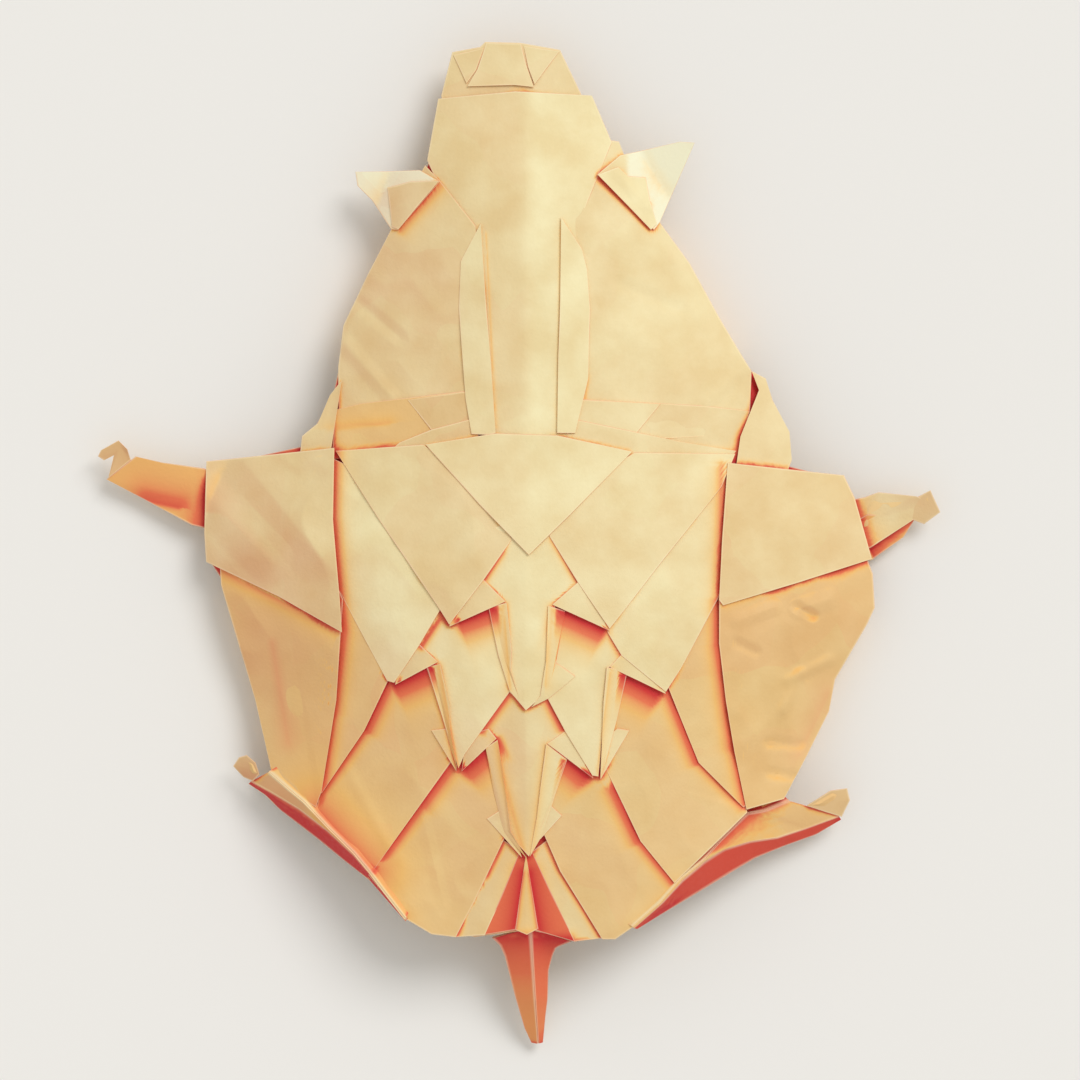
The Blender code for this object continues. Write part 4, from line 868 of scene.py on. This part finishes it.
# %% Depth between the folds
SUN_TURN = math.radians(50.0)      # where the key light comes from, in the plan, from +X to +Y
SHALLOW = 0.55         # a step lower than this keeps its colour
DIRECTIONS = 12
DISTANCES = (0.5, 0.9, 1.4, 2.1, 3.2, 4.8, 7.2, 11.0)
OWN_SLOPE = 0.8        # share of its own slope that a point follows
LEAST_UP = 0.4         # a surface counts as no steeper than this upward share of its direction
SUN_WEIGHT = 0.4       # how much more the sunny side counts


def hidden_share(points, facing):
    """How much sky a point misses: the mean, over the directions, of the sine of the steepest rise."""
    slope = -facing[:, :2] / np.maximum(facing[:, 2:], LEAST_UP)
    missed = np.zeros(len(points))
    total = 0.0
    for turn in np.arange(DIRECTIONS) * math.tau / DIRECTIONS:
        rise = np.zeros(len(points))
        for away in DISTANCES:
            dx, dy = away * math.cos(turn), away * math.sin(turn)
            there = height_map[cell_of(points[:, 0] + dx), cell_of(points[:, 1] + dy)]
            own = points[:, 2] + OWN_SLOPE * (slope[:, 0] * dx + slope[:, 1] * dy)
            rise = np.maximum(rise, (there - own - SHALLOW) / away)
        weight = 1.0 + SUN_WEIGHT * math.cos(turn - SUN_TURN)
        missed += weight * rise / np.sqrt(1.0 + rise ** 2)
        total += weight
    return missed / total


def paper_over(points):
    """How far the highest paper lies over each point."""
    return height_map[cell_of(points[:, 0]), cell_of(points[:, 1])] - points[:, 2]


spots = np.array([(BACK_LINE, 70.0, 0.0), (-35.5, -24.0, 0.0)])
spots[:, 2] = paper_over(spots)
upward = np.array([(0.0, 0.0, 1.0), (0.0, 0.0, 1.0)])
print("sky missed on the forehead and beside the left flank:", hidden_share(spots, upward).round(2))

# %% [markdown]
# ## Shade along the folds
#
# Where a fold stands off the paper below it, light comes out of the gap as a soft red or yellow
# band, which is painted into the colour as painted shade. Each row is one gap: where the line starts
# and ends, how wide its shade is and how strong.
# The shade lies to the left of someone who walks from the start to the end, and only on paper that
# is lower than the fold on the right.

# %% Gaps
GAPS = (
    # along the left plates, the left fan, and the scales and their turned corners
    (-36.8, 19.0, -37.0, 4.8, 2.2, 0.7), (-37.0, 4.8, -35.0, -17.2, 2.2, 0.75),
    (-35.0, -17.2, -37.0, -34.0, 2.4, 0.7), (-37.0, -34.0, -39.6, -52.0, 2.2, 0.6),
    (-25.6, -26.4, -30.8, -37.2, 2.4, 1.0), (-30.8, -37.2, -39.4, -49.8, 1.8, 0.7),
    (-13.2, -43.0, -19.8, -52.2, 2.4, 1.0), (-19.8, -52.2, -29.4, -65.6, 2.0, 0.9),
    (-1.6, 1.0, -6.8, -7.0, 0.9, 0.8), (-15.4, -14.2, -19.6, -20.6, 1.1, 0.85),
    (-1.4, -28.6, -7.6, -37.2, 1.5, 0.95), (-2.4, -57.6, -8.8, -71.2, 0.9, 0.9),
    (-8.8, -71.2, -12.6, -78.4, 0.9, 0.8),
    (-3.6, -12.0, -12.0, -15.0, 4.4, 1.35), (-17.0, -24.0, -25.0, -27.6, 4.4, 1.35),
    (-4.6, -38.8, -11.4, -44.4, 4.4, 1.35), (-15.6, 72.0, -24.0, 62.6, 2.4, 0.45),
    # the same on the right
    (45.4, -53.0, 42.8, -41.2, 2.0, 0.6), (42.8, -41.2, 39.6, -19.8, 2.4, 0.7),
    (39.6, -19.8, 39.6, -11.0, 2.2, 0.7), (39.6, -11.0, 40.6, 16.0, 2.0, 0.5),
    (44.8, -52.6, 35.8, -43.6, 1.6, 0.6), (35.8, -43.6, 29.6, -28.4, 2.2, 0.9),
    (31.0, -67.6, 24.2, -59.2, 1.8, 0.8), (24.2, -59.2, 17.2, -44.6, 2.4, 1.0),
    (11.8, -7.6, 6.6, 1.4, 0.9, 0.8), (20.6, -22.2, 18.0, -17.6, 1.1, 0.8),
    (8.8, -36.8, 5.8, -30.8, 1.5, 0.95), (16.6, -78.8, 8.2, -65.2, 0.9, 0.8),
    (8.2, -65.2, 4.8, -57.4, 0.9, 0.9),
    (17.0, -16.8, 7.6, -12.4, 4.4, 1.35), (28.0, -29.6, 20.4, -25.4, 4.4, 1.35),
    (14.2, -46.0, 8.0, -40.6, 4.4, 1.35), (26.6, 62.8, 16.0, 73.2, 1.0, 0.3),
    # the channel of the head and the edges below the shoulders
    (-6.6, 62.0, -4.6, 23.0, 0.9, 0.3), (7.6, 23.0, 8.4, 63.0, 0.9, 0.25),
    (-35.2, -17.6, -62.8, -3.8, 2.6, 0.35), (70.8, -3.0, 40.8, -12.4, 1.2, 0.2))
print("gaps with shade:", len(GAPS))

# %% [markdown]
# Two more lists need no step. Bands of painted shade lie along ridges, troughs and hollows, and
# bands of pink painted shade lie on facets that turn away from the light.

# %% Bands of painted shade and of pink painted shade
SHADE_BANDS = (
    # beside the ridges of the bands, then in the troughs between them
    (-1.6, -29.2, -3.0, -11.8, 2.2, 0.24), (6.4, -12.0, 5.2, -28.0, 2.0, 0.2),
    (-12.0, -44.4, -14.5, -31.0, 2.4, 0.3), (-14.5, -31.0, -15.8, -23.8, 2.4, 0.3),
    (18.2, -24.4, 15.4, -46.0, 2.0, 0.22), (1.0, -61.0, -3.1, -46.4, 2.2, 0.3),
    (-3.1, -46.4, -4.4, -38.4, 2.2, 0.3), (5.4, -39.6, 2.6, -61.8, 2.0, 0.2),
    (-3.0, -46.0, 1.0, -61.0, 2.0, 0.26), (-4.4, -38.4, -3.0, -46.0, 2.0, 0.22),
    (2.4, -61.0, 5.2, -40.0, 2.0, 0.2), (-3.0, -11.8, -1.6, -29.0, 1.6, 0.15),
    # the hollows of the rump inside the crests, the crease of the left front leg, the tail
    (-40.0, -53.8, -29.4, -65.2, 9.0, 0.48), (-29.4, -65.2, -22.8, -74.2, 5.0, 0.2),
    (23.0, -75.8, 31.6, -67.6, 4.0, 0.12), (-75.0, 8.8, -68.4, 7.4, 4.0, 0.5),
    (10.4, -78.6, -5.0, -78.6, 8.0, 0.6), (-38.0, 23.0, -26.0, 24.0, 3.0, 0.2),
    (-0.8, -76.9, 0.8, -65.4, 3.6, 0.6), (2.1, -65.4, 3.9, -76.7, 3.6, 0.6))
PINK_SHADE_BANDS = (
    (-49.4, -19.8, -46.2, -39.8, 3.4, 0.9), (-46.2, -39.8, -49.4, -19.8, 3.4, 0.9),
    (-57.0, -13.0, -49.4, -19.8, 4.0, 0.5), (-49.4, -19.8, -57.0, -13.0, 4.0, 0.5),
    (62.0, -30.0, 56.4, -42.0, 3.0, 0.3), (56.4, -42.0, 62.0, -30.0, 4.0, 0.4),
    (-62.8, 9.8, -49.8, -3.2, 3.0, 0.3), (-76.0, 9.0, -66.0, 7.0, 9.0, 0.9))
print("warm bands:", len(SHADE_BANDS), "and stains:", len(PINK_SHADE_BANDS))

# %% [markdown]
# Shade falls off from its line as a power of e. For a gap we also read the height map just right of
# the line: the shade counts only where the fold there is higher than the point, and it fades beyond
# the ends of the line.

# %% Shade beside a line
FALL = 1.6             # powers of e that shade loses over its width
BESIDE = 0.8           # how far right of a line the height of its fold is read, in millimetres
LOW_STEP = 0.12        # a step starts to count at this height and counts fully at twice that
SPILL = 0.7            # how far shade runs over open paper right of its line
OPEN = 0.2             # a point is open if no paper lies farther than this over it
BACK_SHARE = 0.2       # width of a band on the right of its line, as a share of that on the left


def shade_beside(points, lines, stepped):
    """Strength times e to the power of -FALL distance / width, about each line; the largest.

    With a step, only points lower than the fold just right of the line count, both measured from
    the dome, and on the right only covered ones.
    """
    shade = np.zeros(len(points))
    level = points[:, 2] - dome(points[:, 0], points[:, 1])
    is_open = paper_over(points) < OPEN
    for x0, y0, x1, y1, width, strength in lines:
        along, up = x1 - x0, y1 - y0
        span = math.hypot(along, up)
        dx, dy = points[:, 0] - x0, points[:, 1] - y0
        along_line = (dx * along + dy * up) / span ** 2
        share = np.clip(along_line, 0.0, 1.0)
        far = np.hypot(dx - share * along, dy - share * up)
        if stepped:
            beside_x = x0 + share * along + BESIDE * up / span
            beside_y = y0 + share * up - BESIDE * along / span
            beside = height_map[cell_of(beside_x), cell_of(beside_y)] - dome(beside_x, beside_y)
            past = np.abs(along_line - share) * span
            here = np.exp(-FALL * far / width - past)
            here = here * np.clip((beside - level - LOW_STEP) / LOW_STEP, 0.0, 1.0)
            left = (along * dy - up * dx) / span
            here = here * np.where(is_open, np.clip(1.0 + left / SPILL, 0.0, 1.0), 1.0)
        else:
            here = np.exp(-FALL * far / np.where(along * dy > up * dx, width, BACK_SHARE * width))
        shade = np.maximum(shade, strength * here)
    return shade


print("shade of the gaps at these two spots:", shade_beside(spots, GAPS, True).round(2))

# %% [markdown]
# ## Light on the paper
#
# A point's painted shade, coloured like an orange and red glow, follows how deep it lies or the shade
# beside it, whichever is more, added to the painted shade of its own fold. Undersides, and points with
# paper far above them, get one faint painted shade instead. Paper that turns away from the key light
# is painted pink as shade, in patches.

# %% Painted glow and pink painted shade
CLEAR = 0.06           # a point that misses this share of the sky doesn't glow yet
DEEP = 0.5             # and one that misses this much more glows fully
INNER_GLOW = 0.12
ROOF = 2.6             # paper this far over a point hides it, in millimetres
FACES_DOWN = -0.2      # upward share of a direction below which paper is an underside
# Pink painted shade on paper turned from the key light: where it starts, its gain, its most, and its
# share on undersides
PINK_SHADE_START, PINK_SHADE_GAIN, PINK_SHADE_MOST, PINK_SHADE_BELOW = 0.06, 1.15, 0.8, 0.1
PATCH_SIZE, PATCH_SEED = 13.0, 7
PATCH_MEAN, PATCH_SPREAD = 0.75, 0.5   # of what the patches leave of the pink painted shade


def glow_at(points, facing, painted_shade):
    """Painted shade: the larger of depth and shade, each from 0 to 1, plus the fold's own painted shade.
    """
    hidden = hidden_share(points, facing)
    glow = np.maximum(np.clip((hidden - CLEAR) / DEEP, 0.0, 1.0), shade_beside(points, GAPS, True))
    glow = np.maximum(glow, shade_beside(points, SHADE_BANDS, False))
    glow = np.where(facing[:, 2] < FACES_DOWN, INNER_GLOW, painted_shade + glow)
    return np.clip(np.where(paper_over(points) > ROOF, INNER_GLOW, glow), 0.0, 1.0)


def pink_shade_at(points, facing):
    """Pink painted shade: minus the cosine of the angle to the sun's direction in the plan, scaled, times
    patches.
    """
    away = -facing[:, 0] * math.cos(SUN_TURN) - facing[:, 1] * math.sin(SUN_TURN)
    patches = smooth_random(points[:, 0], points[:, 1], PATCH_SIZE, PATCH_SEED)
    patches = PATCH_MEAN + PATCH_SPREAD * patches
    pink_shade = np.clip(PINK_SHADE_GAIN * (away - PINK_SHADE_START), 0.0, PINK_SHADE_MOST) * patches
    pink_shade = np.maximum(pink_shade, shade_beside(points, PINK_SHADE_BANDS, False))
    return np.clip(np.where(facing[:, 2] > 0.0, pink_shade, PINK_SHADE_BELOW), 0.0, 1.0)


print("glow at the two spots:", glow_at(spots, upward, 0.0).round(2))

# %% [markdown]
# ## From arrays to meshes
#
# Each grid becomes points, quads and two fans of triangles at its ends. All folds of one region
# share a mesh, so the region is one piece that rides on the boar's body.

# %% Faces
def closed_faces(rings, places):
    """Quads between neighbouring rings and a fan at either end, as lists of point numbers."""
    inner = np.arange((rings - 2) * places).reshape(rings - 2, places) + 1
    after = np.roll(inner, -1, axis=1)
    quads = np.stack([inner[:-1], inner[1:], after[1:], after[:-1]], axis=-1).reshape(-1, 4)
    last = (rings - 2) * places + 1
    head = np.stack([np.zeros(places, int), inner[0], after[0]], axis=-1)
    foot = np.stack([np.full(places, last), after[-1], inner[-1]], axis=-1)
    return quads, np.vstack([head, foot])


def enclosed(points, quads, fans):
    """Signed volume: the sum over all triangles of the product of their corners, over six."""
    tris = np.vstack([quads[:, :3], quads[:, (0, 2, 3)], fans])
    a, b, c = points[tris[:, 0]], points[tris[:, 1]], points[tris[:, 2]]
    return np.einsum("ij,ij->i", a, np.cross(b, c)).sum() / 6.0


def joined(folds):
    """Points, tones and faces of all the folds of a piece, facing outwards, one after another."""
    points, tones, faces = [], [], []
    start = 0
    for rings, tone in folds:
        count, places = rings.shape[:2]
        spots = np.vstack([rings[:1, 0], rings[1:-1].reshape(-1, 3), rings[-1:, 0]])
        quads, fans = closed_faces(count, places)
        if enclosed(spots, quads, fans) < 0.0:
            quads, fans = quads[:, ::-1], fans[:, ::-1]
        points.append(spots)
        tones.append(np.vstack([tone[:1, 0], tone[1:-1].reshape(-1, 4), tone[-1:, 0]]))
        faces += (quads + start).tolist() + (fans + start).tolist()
        start += len(spots)
    return np.vstack(points), np.vstack(tones), faces


print("faces of the rump:", len(joined(SHAPES["rump_folds"])[2]))

# %% [markdown]
# The painted glow and shade and the pink painted shade need the surface's own direction at each
# point, which the mesh gives us, so they are worked out once the mesh exists. Both are then stored on
# its points for the material to read.

# %% Building the pieces
SHARP = math.radians(35.0)         # faces that meet at more than this angle show a fold


def stored(mesh, name, kind, field, values):
    """Writes one value or colour per point as an attribute of the mesh."""
    store = mesh.attributes.new(name, kind, "POINT")
    store.data.foreach_set(field, np.clip(values, 0.0, 1.0).astype(np.float32).ravel())


def in_scene(name, data):
    """A new object in the scene."""
    made = bpy.data.objects.new(name, data)
    bpy.context.scene.collection.objects.link(made)
    return made


def built(name, folds):
    """One mesh object in metres out of all the folds of a piece, with tones and the pink painted shade on
    its points.
    """
    points, tones, faces = joined(folds)
    mesh = bpy.data.meshes.new(name)
    mesh.from_pydata((points * MM).tolist(), [], faces)
    mesh.shade_smooth()
    mesh.set_sharp_from_angle(angle=SHARP)
    facing = np.zeros(len(mesh.vertices) * 3, np.float32)
    mesh.vertex_normals.foreach_get("vector", facing)
    facing = facing.reshape(-1, 3)
    tones[:, 0] = glow_at(points, facing, tones[:, 0])
    stored(mesh, "tone", "FLOAT_COLOR", "color", tones)
    stored(mesh, "pink_shade", "FLOAT", "value", pink_shade_at(points, facing))
    print(name, "has", len(points), "points; glow on average", tones[:, 0].mean().round(3))
    return in_scene(name, mesh)


pieces = [built(name, folds) for name, folds in SHAPES.items()]

# %% [markdown]
# ## The paper
#
# One procedural material serves every fold. The tone attribute mixes cream, the tanner tone with
# painted shade and the white reverse, a ramp turns depth into orange and red painted shade, and fine
# noise on Object coordinates gives the fibres, the faint clouds of uncoated paper and a little uneven
# gloss.

# %% Helpers for the material
MOST_LOW, MOST_HIGH = 0.3, 0.7             # nearly all noise lies between these two


def linear(red, green, blue):
    """A screen colour from 0 to 255 as the linear colour that a shader takes."""
    share = np.array([red, green, blue]) / 255.0
    value = np.where(share <= 0.04045, share / 12.92, ((share + 0.055) / 1.055) ** 2.4)
    return (*value.tolist(), 1.0)


def fill(tree, made, inputs):
    """Links each input to a socket, or sets it where the value is a number or a colour."""
    for key, value in inputs.items():
        if isinstance(value, bpy.types.NodeSocket):
            tree.links.new(value, made.inputs[key])
        else:
            made.inputs[key].default_value = value


def node(tree, kind, inputs, **values):
    """A new node with some of its properties set and its inputs filled."""
    made = tree.nodes.new(kind)
    for key, value in values.items():
        setattr(made, key, value)
    fill(tree, made, inputs)
    return made


def material(name):
    """A new material, with its node tree and its shader."""
    made = bpy.data.materials.new(name)
    made.use_nodes = True
    return made, made.node_tree, made.node_tree.nodes["Principled BSDF"]


def mixed(tree, first, second, share, blend="MIX"):
    """A colour mix of two sockets or fixed colours, by a socket or a fixed share."""
    inputs = {6: first, 7: second, 0: share}
    return node(tree, "ShaderNodeMix", inputs, data_type="RGBA", blend_type=blend).outputs[2]


def noise(tree, place, scale, detail, low, high):
    """Noise at a scale in waves per metre, its middle range carried over to that from low to high."""
    cloud = node(tree, "ShaderNodeTexNoise", {"Vector": place, "Scale": scale, "Detail": detail})
    spread = {"Value": cloud.outputs["Fac"], "From Min": MOST_LOW, "From Max": MOST_HIGH,
              "To Min": low, "To Max": high}
    return node(tree, "ShaderNodeMapRange", spread).outputs["Result"]


# Cream is the paper and white its reverse. The tanner colour is partly handled paper and partly painted
# shade, the pink is painted shade on paper turned from the key light, and the palest cream is a painted
# highlight along the fold lines.
CREAM = linear(241, 229, 182)
TAN_AND_SHADE = linear(222, 188, 130)
REVERSE = linear(240, 237, 205)
PINK_SHADE = linear(222, 138, 104)
HIGHLIGHT = linear(250, 240, 204)
print("cream as a linear colour:", np.round(CREAM, 3))

# %% [markdown]
# The material starts with what the points carry: painted shade, white, and the tanner tone with
# painted shade from the tone attribute, whose alpha is the painted highlight along the fold lines,
# and the pink painted shade from a second attribute.

# %% What the points carry
paper, tree, shader = material("cream_paper")
place = node(tree, "ShaderNodeTexCoord", {}).outputs["Object"]
tone = node(tree, "ShaderNodeAttribute", {}, attribute_name="tone")
# pink painted shade, from the second attribute
pink = node(tree, "ShaderNodeAttribute", {}, attribute_name="pink_shade").outputs["Fac"]
parts = node(tree, "ShaderNodeSeparateColor", {"Color": tone.outputs["Color"]})
depth_shade, white, tan_and_shade = parts.outputs["Red"], parts.outputs["Green"], parts.outputs["Blue"]
print("numbers per point:", len(parts.outputs) + 2)

# %% [markdown]
# A colour ramp turns depth into painted glow and shade. Its colours run from yellow over orange to
# red, and its alpha says how much of the cream they cover.

# %% Glow ramp
FIRST_GLOW, LAST_GLOW = (247, 214, 146), (204, 48, 48)
GLOW_STOPS = ((0.22, (241, 186, 102), 0.75), (0.5, (230, 112, 74), 0.95))

glow = node(tree, "ShaderNodeValToRGB", {"Fac": depth_shade})
stops = glow.color_ramp.elements
stops[0].color = (*linear(*FIRST_GLOW)[:3], 0.0)
stops[1].color = linear(*LAST_GLOW)
for spot, colour, share in GLOW_STOPS:
    stop = stops.new(spot)
    stop.color = (*linear(*colour)[:3], share)
print("stops of the glow:", [round(stop.position, 2) for stop in stops])

# %% [markdown]
# Handled paper has pale and dark patches with straight edges, like its facets, which catch the light
# unevenly; here the patches are painted as pink painted shade. Voronoi cells on a place that noise has
# pushed about look just like that, and only paper with a tanner tone shows them.

# %% Facets
FACET_SCALE, BEND_SCALE = 75.0, 60.0       # in waves per metre
BEND = 0.012                               # how far the cells are pushed about, in metres
FACET_SHADE_SHARE = 0.26

bent = node(tree, "ShaderNodeTexNoise", {"Vector": place, "Scale": BEND_SCALE})
pushed = {0: bent.outputs["Color"], 1: (BEND, BEND, BEND), 2: place}
shifted = node(tree, "ShaderNodeVectorMath", pushed, operation="MULTIPLY_ADD").outputs["Vector"]
facets = node(tree, "ShaderNodeTexVoronoi", {"Vector": shifted, "Scale": FACET_SCALE})
facet = node(tree, "ShaderNodeSeparateColor", {"Color": facets.outputs["Color"]})
# the facets darken paper with a tanner tone towards pink, as painted shade
patch = node(tree, "ShaderNodeMath", {0: facet.outputs["Red"], 1: tan_and_shade}, operation="MULTIPLY")
facet_shade = node(tree, "ShaderNodeMath", {0: patch.outputs[0], 1: FACET_SHADE_SHARE}, operation="MULTIPLY")
print("size of a facet:", round(1000.0 / FACET_SCALE, 1), "mm")

# %% [markdown]
# The colours lie over one another like washes: cream and the tanner tone with painted shade, soft
# clouds, the white reverse, the facets' painted shade, the pink painted shade, the painted glow and
# shade, and the painted highlights along the fold lines last.

# %% Colour of the paper
CLOUDS = (110.0, 3.0, 0.0, 0.35)           # waves per metre, detail, least and most

base = mixed(tree, CREAM, TAN_AND_SHADE, tan_and_shade)
base = mixed(tree, base, TAN_AND_SHADE, noise(tree, place, *CLOUDS), "MULTIPLY")
for colour, share in ((REVERSE, white), (PINK_SHADE, facet_shade.outputs[0]), (PINK_SHADE, pink),
                      (glow.outputs["Color"], glow.outputs["Alpha"]), (HIGHLIGHT, tone.outputs["Alpha"])):
    base = mixed(tree, base, colour, share)
fill(tree, shader, {"Base Color": base})
print("nodes for the colour:", len(tree.nodes))

# %% [markdown]
# Fine noise gives a slightly uneven gloss and fibres that stand a twelfth of a millimetre high at
# most. Then the paper goes onto the pieces, and each of them rides on the boar's body.

# %% Fibres and gloss
FIBRES = (1500.0, 5.0, 0.0, 1.0)           # waves per metre, detail, least and most
ROUGHNESS = (900.0, 4.0, 0.56, 0.74)       # the same
FIBRE_HEIGHT = 0.00008                     # in metres
FIBRE_STRENGTH = 0.35
GLOSS = 0.3

relief = {"Height": noise(tree, place, *FIBRES), "Distance": FIBRE_HEIGHT, "Strength": FIBRE_STRENGTH}
fibres = node(tree, "ShaderNodeBump", relief)
fill(tree, shader, {"Normal": fibres.outputs["Normal"], "Specular IOR Level": GLOSS,
                    "Roughness": noise(tree, place, *ROUGHNESS)})

for piece in pieces:
    piece.data.materials.append(paper)
    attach(piece, "root")
    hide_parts("folded_sheet")
print("nodes in the paper:", len(tree.nodes))

# %% [markdown]
# ## Table, light and camera
#
# A pale table takes the shadow. The light is that of a bright room: a wide sun from the upper right
# gives each fold its edge, and the sky around fills the shadows. Both together light a level sheet
# so that a colour comes out about as it is written. The camera looks straight down.

# %% Table
SIDE = 2.0                                 # half the width of the table, in metres
PALE = linear(236, 234, 230)
MATT = 0.9

floor_mesh = bpy.data.meshes.new("table")
floor_mesh.from_pydata([(-SIDE, -SIDE, 0), (SIDE, -SIDE, 0), (SIDE, SIDE, 0), (-SIDE, SIDE, 0)], [],
                       [(0, 1, 2, 3)])
floor = in_scene("table", floor_mesh)
table_top, table_tree, table_shader = material("table_top")
fill(table_tree, table_shader, {"Base Color": PALE, "Roughness": MATT})
floor_mesh.materials.append(table_top)
print("the table is", 2 * SIDE, "m wide")

# %% Light
SKY_SHARE = 0.66
SUN_SHARE = 0.34
SKY_COLOUR = (1.0, 0.99, 0.96, 1.0)
SUN_HEIGHT = math.radians(48.0)
SUN_SPREAD = math.radians(30.0)            # how wide the sun is, which softens its shadows

sun = in_scene("window_light", bpy.data.lights.new("window_light", "SUN"))
sun.data.energy = math.pi * SUN_SHARE / math.sin(SUN_HEIGHT)
sun.data.angle = SUN_SPREAD
sun.rotation_euler = (0.0, math.pi / 2 - SUN_HEIGHT, SUN_TURN)
print("strength of the sun:", round(sun.data.energy, 2))

# %% [markdown]
# The sky lights the paper, but the camera and the paper's own faint gloss see a pale wall instead, so
# the background stays plain and nothing bright is mirrored.

# %% Sky and wall
world = bpy.data.worlds.new("room")
world.use_nodes = True
bpy.context.scene.world = world
sky_tree = world.node_tree
sky = sky_tree.nodes["Background"]
fill(sky_tree, sky, {"Color": SKY_COLOUR, "Strength": SKY_SHARE})
wall = node(sky_tree, "ShaderNodeBackground", {"Color": PALE})
rays = node(sky_tree, "ShaderNodeLightPath", {}).outputs
seen = {0: rays["Is Camera Ray"], 1: rays["Is Glossy Ray"]}
either = node(sky_tree, "ShaderNodeMath", seen, operation="MAXIMUM")
choice = {0: either.outputs[0], 1: sky.outputs[0], 2: wall.outputs[0]}
shown = node(sky_tree, "ShaderNodeMixShader", choice)
fill(sky_tree, sky_tree.nodes["World Output"], {"Surface": shown.outputs[0]})
bpy.context.scene.view_settings.view_transform = "Standard"
print("nodes in the sky:", len(sky_tree.nodes))

# %% Camera
EYE_HEIGHT = 1.5                           # all in metres
VIEW_WIDTH = 0.216
VIEW_CENTRE = (0.0042, 0.0008)
SUBJECT_HEIGHT = 0.012
FILM = 36.0                                # in millimetres

camera = in_scene("camera", bpy.data.cameras.new("camera"))
camera.data.sensor_width = FILM
camera.data.lens = FILM * (EYE_HEIGHT - SUBJECT_HEIGHT) / VIEW_WIDTH
camera.location = (*VIEW_CENTRE, EYE_HEIGHT)
bpy.context.scene.camera = camera
print("lens:", round(camera.data.lens, 1), "mm")
